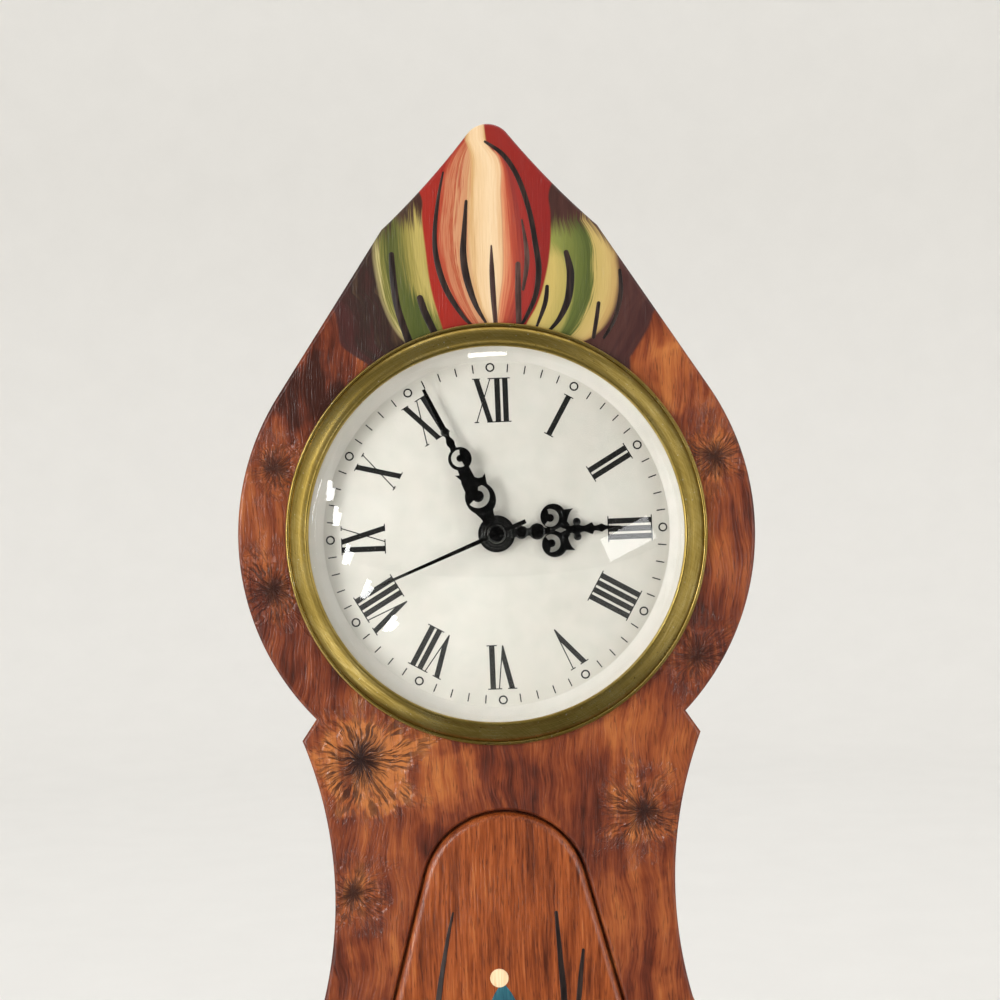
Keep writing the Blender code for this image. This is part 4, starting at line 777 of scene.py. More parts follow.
# %% Front board and panel
EDGE_ROUND = 0.9
INSERT_HOLE = 48.1
PANEL_TOP = (19.5, -85.6)
PANEL_FOOT = (37.0, -152.9)
PANEL_RISE = 1.0
PANEL_THICK = 3.7
PANEL_POCKET = 3.0
PANEL_KERF = 0.5
PANEL_ROUND = 1.8
POCKET_ROUND = 1.1
EDGE_SEGMENTS = 4
POCKET_SEGMENTS = 5
PANEL_SEGMENTS = 7
PANEL_TONES = [(0.36, "#4E2210"), (0.45, "#783716"), (0.52, "#90451B"), (0.59, "#A35425"), (0.70, "#B87038")]
PANEL_MIX = (0.42, 0.40, 0.20)


def panel_outline(grow=0.0):
    """Closed pear outline around a small and a large circle."""
    tilt = math.asin((PANEL_FOOT[0] - PANEL_TOP[0]) / (PANEL_TOP[1] - PANEL_FOOT[1]))
    upper = arc((0.0, PANEL_TOP[1]), PANEL_TOP[0] + grow, tilt, math.pi - tilt)
    lower = arc((0.0, PANEL_FOOT[1]), PANEL_FOOT[0] + grow, math.pi - tilt, 2 * math.pi + tilt)
    return upper + lower


bm = bmesh.new()
pocket_outline = panel_outline(PANEL_KERF)
faces, rims = fill(bm, [case_outline(), circle((0.0, 0.0), INSERT_HOLE), pocket_outline], 0.0)
pocket = bmesh.ops.edgeloop_fill(bm, edges=rims[2])["faces"]
extrude(bm, bm.faces[:], -BOARD_BACK)
extrude(bm, pocket, PANEL_POCKET, sink=True)
round_edges(bm, rims[0], EDGE_ROUND, EDGE_SEGMENTS)
round_edges(bm, rims[2], POCKET_ROUND, POCKET_SEGMENTS)
make_piece("painted_front_board", bm, painted_front, "case", ["front_board"], even=True)

panel_glaze = burl_glaze(
    "panel_grain_under_varnish", seed=8.0, tones=PANEL_TONES, mix=PANEL_MIX, sway=1.2, varnish=1.0,
)
panel = flat_piece([panel_outline()], PANEL_RISE, PANEL_RISE - PANEL_THICK, PANEL_ROUND, PANEL_SEGMENTS)
make_piece("waist_panel_raised", panel, panel_glaze, "case", ["waist_panel"], even=True)

# %% [markdown]
# The walls follow the outline behind the front board. Each one is a path of edges, extruded from the front
# board to the back board and then given its thickness by solidify, the way a strip of wood is bent to a form.
# The crest has no room for a wall and is a solid block.

# %% Walls
WALL = 5.0


def bent_wall(path):
    """Strip along a path between the two boards, thickened toward the inside."""
    bm = bmesh.new()
    verts = [bm.verts.new((x, -BOARD_BACK, h)) for x, h in path]
    edges = [bm.edges.new(pair) for pair in zip(verts, verts[1:])]
    grown = bmesh.ops.extrude_edge_only(bm, edges=edges)["geom"]
    moved = [item for item in grown if isinstance(item, bmesh.types.BMVert)]
    bmesh.ops.translate(bm, verts=moved, vec=(0.0, BOARD_BACK - BACK_FRONT, 0.0))
    middle = sum((Vector((x, 0.0, h)) for x, h in path), Vector()) / len(path)
    inward = Vector((0.0, 0.0, middle.z)) - middle
    bm.normal_update()
    facing = sum(face.normal.dot(inward) for face in bm.faces)
    if facing > 0:
        bmesh.ops.reverse_faces(bm, faces=bm.faces[:])
    bmesh.ops.solidify(bm, geom=bm.faces[:], thickness=WALL)
    bmesh.ops.recalc_face_normals(bm, faces=bm.faces[:])
    return bm


for side, flip in (("right", False), ("left", True)):
    for part, path in (("head", head_flank()), ("waist", [head_flank()[-1]] + waist_flank())):
        path = mirrored(path) if flip else path
        name = f"{part}_wall_{side}"
        make_piece(name, bent_wall(path), side_glaze, "case", [f"{part}_side_{side}"])

crest_loop = crest_flank() + mirrored(crest_flank()[1:])[::-1]
crest = flat_piece([crest_loop], BOARD_BACK, BACK_FRONT)
make_piece("crest_wall", crest, side_glaze, "case", ["crest_block"])

# %% [markdown]
# The back board is plain birch with a round hole for the hand that sets the clock. It is the same outline
# again, drawn from behind: the faces start at the back and are extruded forward, so the rounded rim is the
# one that shows. The screw holes are read from the screws of the frame.

# %% Back board
ACCESS_RADIUS = 44.0
BACK_ROUND = 0.35
SCREW_HOLE = 1.25
SCREW_HOLE_STEP = 0.6

# Sawn and unvarnished birch: dull, with fine grain lines over broad pale flames
birch, tree, shader = new_material("raw_birch", Roughness=0.7, Specular_IOR_Level=0.3)
place = drawing_place(tree)
grain = streaks(tree, place, 0.5, 22.0, 3.0, 4.0)
flame = streaks(tree, place, 6.0, 60.0, 4.0, 2.0)
tone = weighed_sum(tree, (grain, 0.5), (flame, 0.5))
birch_tones = [(0.34, "#8A6238"), (0.5, "#B08A58"), (0.64, "#C4A070")]
feed(tree, shader, Base_Color=add(tree, "ValToRGB", tone, stops=birch_tones))
relief(tree, shader, grain, 0.08, 0.6)


def middle_of(name):
    """Middle of a frame node in drawing millimetres."""
    low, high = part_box(name)
    centre = (low + high) / 2
    return centre.x / MM, (centre.z - DIAL_Z) / MM


holes = [circle(middle_of(f"back_screw_{number}"), SCREW_HOLE, SCREW_HOLE_STEP) for number in (1, 2, 3, 4)]
loops = [case_outline(), circle((0.0, 0.0), ACCESS_RADIUS), *holes]
back = flat_piece(loops, BACK_FACE, BACK_FRONT, BACK_ROUND, 2)
make_piece("birch_back_board", back, birch, "case", ["back_board"], even=True)

# %% [markdown]
# The plinth is a plain plank, whose grain runs across. It is drawn in plan, extruded by its height and laid
# flat with a rotation, so that the same rounding that serves the boards serves its upper edge.

# %% Plinth
PLINTH_ROUND = 4.6
PLINTH_CORNER = 5.0
PLINTH_SEGMENTS = 7
CORNER_STEP = 0.6
SCREW_HEAD_HOLE = 2.6
HEAD_HOLE_STEP = 0.8
PLINTH_TONES = [(0.30, "#44200F"), (0.46, "#6E3317"), (0.58, "#86431F"), (0.74, "#A0602F")]

half_width = plinth_high.x / MM
half_depth = plinth_high.y / MM
thick = (plinth_high.z - plinth_low.z) / MM


def rounded_box(half_x, half_y, radius):
    """Closed loop of a rectangle with round corners."""
    loop = []
    for quarter, (sign_x, sign_y) in enumerate(((1, 1), (-1, 1), (-1, -1), (1, -1))):
        centre = (sign_x * (half_x - radius), sign_y * (half_y - radius))
        loop += arc(centre, radius, quarter * math.pi / 2, (quarter + 1) * math.pi / 2, CORNER_STEP)
    return loop


plinth_glaze = burl_glaze(
    "plinth_grain_under_varnish", seed=12.0, tones=PLINTH_TONES, lying=True, varnish=0.12,
)
screw_x = middle_of("plinth_screw_right")[0]
holes = [circle((x, 0.0), SCREW_HEAD_HOLE, HEAD_HOLE_STEP) for x in (screw_x, -screw_x)]
bm = bmesh.new()
faces, rims = fill(bm, [rounded_box(half_width, half_depth, PLINTH_CORNER), *holes], thick)
extrude(bm, faces, thick)
round_edges(bm, rims[0], PLINTH_ROUND, PLINTH_SEGMENTS)
lay_flat = Matrix.Translation((0.0, -FRONT / MM, -DIAL_Z / MM)) @ Matrix.Rotation(-math.pi / 2, 4, "X")
bmesh.ops.transform(bm, matrix=lay_flat, verts=bm.verts[:])
make_piece("plinth_plank", bm, plinth_glaze, "case", ["plinth"], even=True)

# %% [markdown]
# The dark lines of the flower are single pulls of a loaded brush: thin where the hairs touch down, fat in the
# middle, with a rim of paint that stands up. Each one is a smooth path with a width at every point. Its two
# sides and two round ends make a loop, and the loop becomes a thin flat piece with a rounded rim, sunk a
# little into the board so that nothing floats.

# %% Brush strokes
PAINT_RISE = 0.09
PAINT_SINK = 0.25
PAINT_ROUND = 0.07
CAP_STEP = 0.2


def smooth_path(points, steps=7):
    """Points of a Catmull-Rom curve through a few points of any kind of coordinates."""
    padded = [points[0], *points, points[-1]]
    path = []
    for a, b, c, d in zip(padded, padded[1:], padded[2:], padded[3:]):
        for i in range(steps):
            t = i / steps
            path.append(tuple(
                0.5 * (
                    2 * q + (r - p) * t
                    + (2 * p - 5 * q + 4 * r - s) * t ** 2
                    + (3 * q - p - 3 * r + s) * t ** 3
                )
                for p, q, r, s in zip(a, b, c, d)
            ))
    return path + [points[-1]]


def brush_loop(points):
    """Closed outline of a stroke through (x, h, width) points, with round ends."""
    path = smooth_path(points)
    places = [Vector(point[:2]) for point in path]
    left, right = [], []
    for index, (x, h, width) in enumerate(path):
        run = (places[min(index + 1, len(path) - 1)] - places[max(index - 1, 0)]).normalized()
        aside = Vector((-run.y, run.x)) * (width / 2)
        left.append(tuple(places[index] + aside))
        right.append(tuple(places[index] - aside))
    first = (places[1] - places[0]).normalized()
    last = (places[-1] - places[-2]).normalized()
    start = math.atan2(first.y, first.x)
    end = math.atan2(last.y, last.x)
    cap = arc(places[-1], path[-1][2] / 2, end + math.pi / 2, end - math.pi / 2, CAP_STEP)[1:-1]
    foot = arc(places[0], path[0][2] / 2, start - math.pi / 2, start - 3 * math.pi / 2, CAP_STEP)[1:-1]
    return left + cap + right[::-1] + foot


def brush_paint(name, dark, pale):
    """Artist's oil colour, pulled upward: satin, with hair lines and thin spots."""
    material, tree, shader = new_material(name, Coat_Weight=0.4, Coat_Roughness=0.15, Specular_IOR_Level=0.4)
    place = drawing_place(tree)
    hair = streaks(tree, place, 0.28, 5.0, 6.0)
    blot = streaks(tree, place, 2.5, 7.0, 7.0)
    tone = add(tree, "Math", hair, blot, operation="MULTIPLY")
    shade = add(tree, "ValToRGB", tone, stops=[(0.17, dark), (0.36, pale)])
    rough = add(tree, "MapRange", hair, 0.3, 0.7, 0.32, 0.5)
    feed(tree, shader, Base_Color=shade, Roughness=rough)
    relief(tree, shader, hair, 0.05, 0.6)
    return material


def paint_strokes(name, strokes, material, rise):
    """Strokes of one colour as one piece of raised paint."""
    bm = bmesh.new()
    for points in strokes:
        flat_piece([brush_loop(points)], rise + PAINT_RISE, rise - PAINT_SINK, PAINT_ROUND, 2, bm)
    make_piece(name, bm, material)


# Strokes are (x, h, width) points
TULIP_LINES = (
    ((-10.6, 86.0, 0.4), (-12.0, 79.3, 0.8), (-13.0, 70.3, 1.1), (-12.2, 63.3, 1.4), (-10.1, 57.3, 1.4),
     (-6.7, 51.8, 1.0), (-4.5, 49.4, 0.6)),
    ((-5.3, 79.0, 0.7), (-5.9, 72.3, 1.2), (-6.3, 66.3, 1.6), (-5.5, 60.3, 1.7), (-3.6, 54.3, 1.2),
     (-1.0, 49.6, 0.5)),
    ((-0.5, 93.0, 0.6), (3.7, 89.8, 1.1), (7.1, 84.3, 1.2), (9.6, 76.3, 1.2), (10.9, 68.3, 1.3),
     (11.5, 62.3, 1.4), (10.6, 56.3, 1.2), (8.3, 51.3, 0.9), (7.0, 49.4, 0.6)),
)
LEAF_LINES = (
    ((-23.3, 66.8, 1.2), (-23.0, 60.3, 1.6), (-22.1, 53.8, 1.6), (-19.8, 46.4, 1.8)),
    ((-16.8, 56.3, 1.5), (-15.7, 52.8, 1.7), (-13.5, 47.9, 1.6)),
    ((13.4, 58.3, 0.9), (12.8, 54.3, 1.1), (10.7, 48.9, 0.6)),
    ((18.1, 66.3, 1.2), (19.0, 61.3, 1.8), (18.3, 55.3, 1.7), (16.2, 50.8, 1.2), (13.7, 47.9, 0.7)),
    ((25.5, 54.1, 0.9), (24.9, 50.3, 1.0), (24.1, 46.1, 0.9)),
    ((30.7, 61.8, 0.7), (30.8, 56.3, 1.1), (29.2, 50.3, 0.9), (26.6, 45.9, 0.7)),
)
THIN_LINES = (
    ((0.4, 68.3, 0.4), (0.4, 62.3, 1.2), (0.6, 56.3, 1.3), (1.0, 49.6, 1.0)),
    ((6.6, 63.8, 1.2), (6.5, 56.8, 1.4), (6.5, 49.9, 1.3)),
    ((7.8, 74.3, 0.4), (8.8, 65.3, 1.2), (7.7, 57.8, 0.7)),
)
black_brown = brush_paint("black_brown_brush_paint", "#1C1412", "#37261F")
thin_brown = brush_paint("thin_brown_brush_paint", "#3A2520", "#5C4038")
paint_strokes("tulip_lines", TULIP_LINES + LEAF_LINES, black_brown, 0.0)
paint_strokes("thin_tulip_lines", THIN_LINES, thin_brown, 0.0)

# %% [markdown]
# The panel carries a second flower, on two long stems. Only its upper end is known, so the rest is a plain
# flower of the same school: strokes that swell and taper, dots of cream and a blue-green bud.

# %% Panel flower
DOT_ROUND = 0.12
DOT_STEP = 0.35
DOT_SEGMENTS = 3
STEM_LINES = (
    ((-12.5, -89.4, 0.5), (-14.2, -97.0, 0.9), (-16.5, -110.7, 1.4), (-17.6, -124.0, 1.5),
     (-14.0, -138.0, 1.3), (-6.0, -152.0, 1.4), (0.0, -166.0, 1.2)),
    ((11.9, -89.8, 0.8), (12.6, -100.0, 1.2), (13.3, -110.7, 1.5), (13.6, -124.0, 1.4), (11.0, -138.0, 1.2),
     (5.0, -152.0, 1.2), (1.0, -166.0, 1.0)),
    ((18.1, -98.8, 0.7), (17.4, -104.5, 1.1), (16.7, -110.7, 1.2), (15.4, -119.0, 0.6)),
    ((-0.6, -124.0, 0.6), (-0.2, -136.0, 1.3), (0.3, -152.0, 1.5), (0.5, -180.0, 1.2)),
)
BUDS = (
    ((-1.1, -106.2, 0.4), (-1.1, -109.0, 4.4), (-1.0, -113.0, 7.4), (-0.8, -118.0, 7.0), (-0.6, -123.5, 2.2)),
)
RED_PETALS = (
    ((-7.4, -112.0, 0.6), (-8.4, -117.0, 3.4), (-6.6, -123.0, 3.6), (-2.6, -127.0, 1.0)),
    ((5.2, -112.0, 0.6), (6.2, -117.0, 3.4), (4.8, -123.0, 3.6), (1.4, -127.0, 1.0)),
    ((-25.0, -146.0, 0.5), (-22.0, -151.0, 3.6), (-16.0, -154.0, 4.2), (-9.0, -155.0, 1.0)),
    ((25.0, -146.0, 0.5), (22.0, -151.0, 3.6), (16.0, -154.0, 4.2), (9.0, -155.0, 1.0)),
)
GREEN_LEAVES = (
    ((-24.0, -168.0, 0.5), (-19.0, -169.0, 3.6), (-11.0, -173.0, 4.4), (-1.0, -180.0, 0.9)),
    ((24.0, -168.0, 0.5), (19.0, -169.0, 3.6), (11.0, -173.0, 4.4), (1.6, -180.0, 0.9)),
)
# Dots are (x, h, radius)
DOTS = ((-1.9, -105.0, 2.2), (-21.0, -141.0, 1.3), (21.0, -141.0, 1.3), (0.0, -187.0, 1.5))

blue_green = brush_paint("blue_green_brush_paint", "#174A5A", "#2D6C79")
cream_paint = brush_paint("cream_brush_paint", "#E6C294", "#F6DCB4")
red_paint = brush_paint("red_brush_paint", "#8E241C", "#B24A33")
green_paint = brush_paint("green_brush_paint", "#4A5527", "#7C8340")
paint_strokes("panel_stems", STEM_LINES, black_brown, PANEL_RISE)
paint_strokes("panel_bud", BUDS, blue_green, PANEL_RISE)
paint_strokes("panel_petals", RED_PETALS, red_paint, PANEL_RISE)
paint_strokes("panel_leaves", GREEN_LEAVES, green_paint, PANEL_RISE)
bm = bmesh.new()
dot_rise = PANEL_RISE + 2 * PAINT_RISE
for x, h, radius in DOTS:
    dot = circle((x, h), radius, DOT_STEP)
    flat_piece([dot], dot_rise, PANEL_RISE - PAINT_SINK, DOT_ROUND, DOT_SEGMENTS, bm)
make_piece("panel_dots", bm, cream_paint)

# %% [markdown]
# The bezel is spun from brass sheet: a rolled bead outside, a groove, a broad cone and a rolled lip over the
# glass. Everything round about the dial's axis is a profile of radius and rise, spun a full turn, the way a
# metal spinner works. The tool leaves fine rings, so the shine is brushed around the axis.

# %% Brass bezel
RING_STEPS = 160
RING_WELD = 1e-4
RING_RUN = 9.0
BEAD_STEP = 0.12


def turned(profile, closed=True, steps=RING_STEPS):
    """Spin a profile of (radius, rise) about the dial's axis. An open one starts and ends on the axis."""
    places = [(radius, -rise, 0.0) for radius, rise in profile]
    return spun(places, (0.0, 1.0, 0.0), steps, RING_WELD, closed)


def ring_place(tree, place):
    """Places that change fast across a turned surface and slowly around it, for marks left by a lathe."""
    split = add(tree, "SeparateXYZ", place).node
    flat = add(tree, "VectorMath", place, (1.0, 0.0, 1.0), operation="MULTIPLY")
    radius = add(tree, "VectorMath", flat, operation="LENGTH", out="Value")
    heading = add(tree, "VectorMath", flat, operation="NORMALIZE")
    heading = add(tree, "VectorMath", heading, (RING_RUN,) * 3, operation="MULTIPLY")
    across = add(tree, "Math", radius, split.outputs["Y"], operation="SUBTRACT")
    outward = add(tree, "CombineXYZ", 0.0, across, 0.0)
    return add(tree, "VectorMath", heading, outward, operation="ADD")


def spun_brass(name):
    """Brushed brass sheet, aged: rings from the tool, slanting scratches, brown clouds, pits and dust."""
    material, tree, shader = new_material(name, Metallic=1.0, Anisotropic=0.55)
    place = drawing_place(tree)
    rings = ring_place(tree, place)
    stretched = add(tree, "VectorMath", rings, (1.0, 9.0, 1.0), operation="MULTIPLY")
    brush = add(tree, "TexNoise", stretched, sockets={"Scale": 1.0, "Detail": 3.0, "Roughness": 0.65})
    cloud = add(tree, "TexNoise", place, sockets={"Scale": 0.09, "Detail": 3.0})
    pits = add(tree, "TexNoise", place, sockets={"Scale": 1.4, "Detail": 2.0})
    dust = add(tree, "MapRange", pits, 0.30, 0.25, 0.0, 0.8)
    pits = add(tree, "MapRange", pits, 0.70, 0.76, 0.0, 1.0)
    slant = (0.0, 0.7, 0.0)
    hatch = add(tree, "Mapping", place, (0.0, 0.0, 0.0), slant, (5.0, 5.0, 0.2), vector_type="TEXTURE")
    scratch = add(tree, "TexNoise", hatch, sockets={"Scale": 1.0, "Detail": 3.0, "Roughness": 0.6})
    tone = weighed_sum(tree, (brush, 0.45), (cloud, 0.30), (scratch, 0.25))
    brass_tones = [(0.36, "#98803A"), (0.5, "#B89C50"), (0.64, "#D2BA74")]
    shade = add(tree, "ValToRGB", tone, stops=brass_tones)
    shade = add(tree, "Mix", sockets={0: pits, 6: shade, 7: colour("#5C4A20")}, data_type="RGBA", out=2)
    shade = add(tree, "Mix", sockets={0: dust, 6: shade, 7: colour("#E9E2BE")}, data_type="RGBA", out=2)
    rough = add(tree, "MapRange", tone, 0.35, 0.65, 0.40, 0.24)
    around = add(tree, "Tangent", direction_type="RADIAL", axis="Y")
    feed(tree, shader, Base_Color=shade, Roughness=rough, Tangent=around)
    height = add(tree, "Math", pits, -2.0, brush, operation="MULTIPLY_ADD")
    relief(tree, shader, height, 0.03, 0.35)
    return material


BEZEL_PROFILE = [
    (49.75, 0.05), *arc((49.45, 1.25), 0.5, -0.6, 2.2, BEAD_STEP), (49.06, 1.56), (48.98, 1.62), (48.85, 1.8),
    (48.2, 2.35), (47.3, 2.92), (46.3, 3.44), (45.35, 3.86), *arc((44.8, 3.7), 0.6, 1.15, math.pi, BEAD_STEP),
    (44.2, 3.3), (45.6, 3.2), (45.6, -5.0), (46.3, -5.0), (46.3, 0.05),
]
brass = spun_brass("spun_and_brushed_brass")
make_piece("brass_bezel", turned(BEZEL_PROFILE), brass, "case", ["bezel"], angle=40.0)

# %% [markdown]
# The glass is a thin pressed dome held by the bezel's lip. It is one closed shell, an outer and an inner skin
# a millimetre and a half apart, so light bends twice as in the real one. It casts no shadow, because a
# renderer would otherwise lose most of the light that reaches the dial through it.

# %% Dome glass
GLASS_EDGE = 44.0
GLASS_RIM = 45.3
GLASS_RISE = 2.9
GLASS_DOME = 6.5
GLASS_THICK = 1.5
GLASS_ARRIS = 0.15
GLASS_STEP = 1.2
GLASS_STEPS = 128

# Glass pressed in a mould: clear, with a faint wave, so that mirrored windows bend a little
glass, tree, shader = new_material("pressed_clear_glass", Transmission_Weight=1.0, IOR=1.5)
haze = add(tree, "TexNoise", drawing_place(tree), sockets={"Scale": 0.25, "Detail": 4.0})
# Old dust and wiped streaks, which only roughen the skin a little
rough = add(tree, "MapRange", haze, 0.35, 0.75, 0.0, 0.035)
tint = add(tree, "ValToRGB", haze, stops=[(0.3, "#F7FAF9"), (0.7, "#FFFFFF")])
feed(tree, shader, Base_Color=tint, Roughness=rough)
relief(tree, shader, haze, 0.02, 0.2)

ball = (GLASS_EDGE ** 2 + GLASS_DOME ** 2) / (2 * GLASS_DOME)
sweep = math.asin(GLASS_EDGE / ball)
outer = arc((0.0, GLASS_RISE + GLASS_DOME - ball), ball, math.pi / 2, math.pi / 2 - sweep, GLASS_STEP)
inner = [(radius, rise - GLASS_THICK) for radius, rise in outer]
rim = [(GLASS_RIM, GLASS_RISE - GLASS_ARRIS), (GLASS_RIM, GLASS_RISE - GLASS_THICK + GLASS_ARRIS)]
dome = turned(outer + rim + inner[::-1], closed=False, steps=GLASS_STEPS)
dome_piece = make_piece("dome_glass_shell", dome, glass, "case", ["dome_glass"], angle=50.0)
dome_piece.visible_shadow = False

# %% [markdown]
# Behind the glass sits a pressed pan with a flared rim, and on its floor lies the dial, a thin enamelled
# disc. Both have aged to a warm white. They are turned like the bezel, with a small round at each bend,
# because pressed sheet has no sharp corner.

# %% Pan and dial
def aged_enamel(name, dark, pale, gloss):
    """Stoved enamel on sheet metal: smooth, with faint warm clouds and fine specks of dust."""
    material, tree, shader = new_material(name, Specular_IOR_Level=0.35)
    place = drawing_place(tree)
    cloud = add(tree, "TexNoise", place, sockets={"Scale": 0.07, "Detail": 5.0, "Roughness": 0.6})
    specks = add(tree, "TexNoise", place, sockets={"Scale": 2.2, "Detail": 2.0})
    specks = add(tree, "MapRange", specks, 0.28, 0.24, 0.0, 0.35)
    shade = add(tree, "ValToRGB", cloud, stops=[(0.3, dark), (0.7, pale)])
    shade = add(tree, "Mix", sockets={0: specks, 6: shade, 7: colour("#A59C86")}, data_type="RGBA", out=2)
    rough = add(tree, "MapRange", cloud, 0.3, 0.7, gloss + 0.06, gloss - 0.06)
    feed(tree, shader, Base_Color=shade, Roughness=rough)
    relief(tree, shader, cloud, 0.05, 0.3)
    return material


PAN_PROFILE = [
    (4.0, -3.6), (41.12, -3.6), (41.12, -2.84), (41.5, -2.6), (42.1, -1.95), (43.7, 0.2), (44.2, 0.85),
    (44.7, 1.1), (45.3, 1.1), (45.3, 0.2), (43.0, -3.9), (42.4, -4.8), (4.0, -4.8),
]
DIAL_PROFILE = [(3.4, -2.85), (3.45, -2.8), (41.05, -2.8), (41.11, -2.84), (41.11, -3.3), (3.4, -3.3)]
pan_white = aged_enamel("aged_pan_enamel", "#DED8CD", "#E6E1D8", 0.4)
dial_white = aged_enamel("aged_dial_enamel", "#D9D4C9", "#E1DDD3", 0.5)
make_piece("pressed_dial_pan", turned(PAN_PROFILE), pan_white, "case", ["dial_pan"])
make_piece("enamelled_dial", turned(DIAL_PROFILE), dial_white, "case", ["dial"])

# %% [markdown]
# The print on the dial is ink, a few hundredths of a millimetre thick: a track of short minute marks with a
# ring at each hour, and Roman numerals whose feet point to the centre. Numerals are made of thick bars,
# hairlines and serifs. Each is a flat piece drawn upright above the centre and turned to its hour. Bars,
# hairlines and serifs have slightly different heights, so that no two faces lie in one plane.

# %% Dial print
TRACK_RADIUS = 39.5
MARK_RADIUS = TRACK_RADIUS - 0.1
MINUTE_MARK = [(-0.14, -1.0), (0.14, -1.0), (0.14, 1.0), (-0.14, 1.0)]
HOUR_RING = (1.08, 0.72)
HOUR_RING_STEP = 0.25
NUMERAL_RADIUS = 31.7
NUMERAL_HEIGHT = 10.3
HEAD = NUMERAL_HEIGHT / 2
HEEL = -NUMERAL_HEIGHT / 2
BAR = 1.3
HAIR = 0.26
DIAL_TURN = math.radians(-0.9)
INK_SINK = 0.1
INK_LIFTS = dict(bar=0.030, hair=0.024, serif=0.018)
NUMERALS = ("XII", "I", "II", "III", "IIII", "V", "VI", "VII", "VIII", "IX", "X", "XI")
ADVANCE = {"I": 1.88, "V": 4.5, "X": 4.9}


def slanted(top, foot, width):
    """Closed loop of a straight stroke from a side place at the top to one at the foot of a numeral."""
    half = width / 2
    return [(top - half, HEAD), (foot - half, HEEL), (foot + half, HEEL), (top + half, HEAD)]


def serif(left, right, place):
    """Closed loop of a hairline across the head or the foot of a numeral."""
    low, high = place - HAIR / 2, place + HAIR / 2
    return [(left, low), (right, low), (right, high), (left, high)]


LETTERS = {
    "I": [
        (slanted(0.0, 0.0, BAR), "bar"), (serif(-1.22, 1.22, HEAD), "serif"),
        (serif(-1.22, 1.22, HEEL), "serif"),
    ],
    "V": [
        ([(-2.0, HEAD), (0.45, HEEL), (0.75, HEEL), (0.9, HEEL + 3.3), (-0.7, HEAD)], "bar"),
        (slanted(1.75, 0.62, HAIR), "hair"),
        (serif(-2.5, -0.3, HEAD), "serif"), (serif(1.1, 2.4, HEAD), "serif"),
    ],
    "X": [
        (slanted(-1.5, 1.45, BAR), "bar"), (slanted(1.75, -1.75, HAIR), "hair"),
        (serif(-2.5, -0.6, HEAD), "serif"), (serif(0.7, 2.5, HEEL), "serif"),
        (serif(1.2, 2.3, HEAD), "serif"), (serif(-2.3, -1.2, HEEL), "serif"),
    ],
}


def numeral_strokes(word):
    """Strokes of one numeral as (loop, kind), centred on its own middle."""
    start = -sum(ADVANCE[letter] for letter in word) / 2
    strokes = []
    for letter in word:
        middle = start + ADVANCE[letter] / 2
        strokes += [([(middle + x, h) for x, h in loop], kind) for loop, kind in LETTERS[letter]]
        start += ADVANCE[letter]
    return strokes


def turned_loop(loop, out, turn):
    """Loop moved out from the centre and turned clockwise."""
    c, s = math.cos(turn), math.sin(turn)
    return [(x * c + (h + out) * s, -x * s + (h + out) * c) for x, h in loop]


# Ink pushed through a screen: flat black, thin enough to show pinholes
ink, tree, shader = new_material("screen_printed_ink", Specular_IOR_Level=0.25)
pores = add(tree, "TexNoise", drawing_place(tree), sockets={"Scale": 3.2, "Detail": 3.0})
# Pinholes in thin ink are finer than a pixel, so they are drawn a few times coarser
shade = add(tree, "ValToRGB", pores, stops=[(0.30, "#55534B"), (0.38, "#141311"), (0.7, "#0C0B0A")])
rough = add(tree, "MapRange", pores, 0.3, 0.7, 0.7, 0.5)
feed(tree, shader, Base_Color=shade, Roughness=rough)
relief(tree, shader, pores, 0.02, 0.4)

numerals = bmesh.new()
track = bmesh.new()
for minute in range(60):
    turn = DIAL_TURN + math.radians(6 * minute)
    if minute % 5:
        loops = [turned_loop(MINUTE_MARK, MARK_RADIUS, turn)]
    else:
        rings = [circle((0.0, 0.0), radius, HOUR_RING_STEP) for radius in HOUR_RING]
        loops = [turned_loop(ring, TRACK_RADIUS, turn) for ring in rings]
        for loop, kind in numeral_strokes(NUMERALS[minute // 5]):
            lift = DIAL_RISE + INK_LIFTS[kind]
            flat_piece([turned_loop(loop, NUMERAL_RADIUS, turn)], lift, DIAL_RISE - INK_SINK, bm=numerals)
    flat_piece(loops, DIAL_RISE + INK_LIFTS["bar"], DIAL_RISE - INK_SINK, bm=track)
make_piece("roman_numerals", numerals, ink)
make_piece("minute_track", track, ink)

# %% [markdown]
# The hands are stamped from thin steel and lacquered black. Their openwork is a set of plain shapes that run
# into each other: discs, leaves, spurs and a tapering stem. So each hand is drawn upright as a few
# overlapping plates, a hair apart in height, with a small round on every edge, and then turned to its hour.
# The openings are bands bent around a small disc.

# %% Hands
HAND_THICK = 0.5
HAND_EDGE = 0.13
BEAD_EDGE = 0.42
BOSS_ROUND = 0.13
BOSS_STEPS = 72
CURL_STEP = 0.3
TIER = 0.12
HOUR_RISE = -1.6
MINUTE_RISE = 0.1
SECOND_RISE = 1.8
HOUR_TURN = math.radians(88.0)
MINUTE_TURN = math.radians(334.5)
SECOND_TURN = math.radians(247.5)


def stem(widths):
    """Closed loop along the hand from (place, half width) pairs, with smooth sides."""
    side = smooth_path(widths, 4)
    return [(half, place) for place, half in side] + [(-half, place) for place, half in reversed(side)]


def curl(centre, outer, inner, start, end):
    """Closed loop of a blunt band that bends around a centre between two headings, in degrees."""
    start, end = math.radians(start), math.radians(end)
    return arc(centre, outer, start, end, CURL_STEP) + arc(centre, inner, end, start, CURL_STEP)


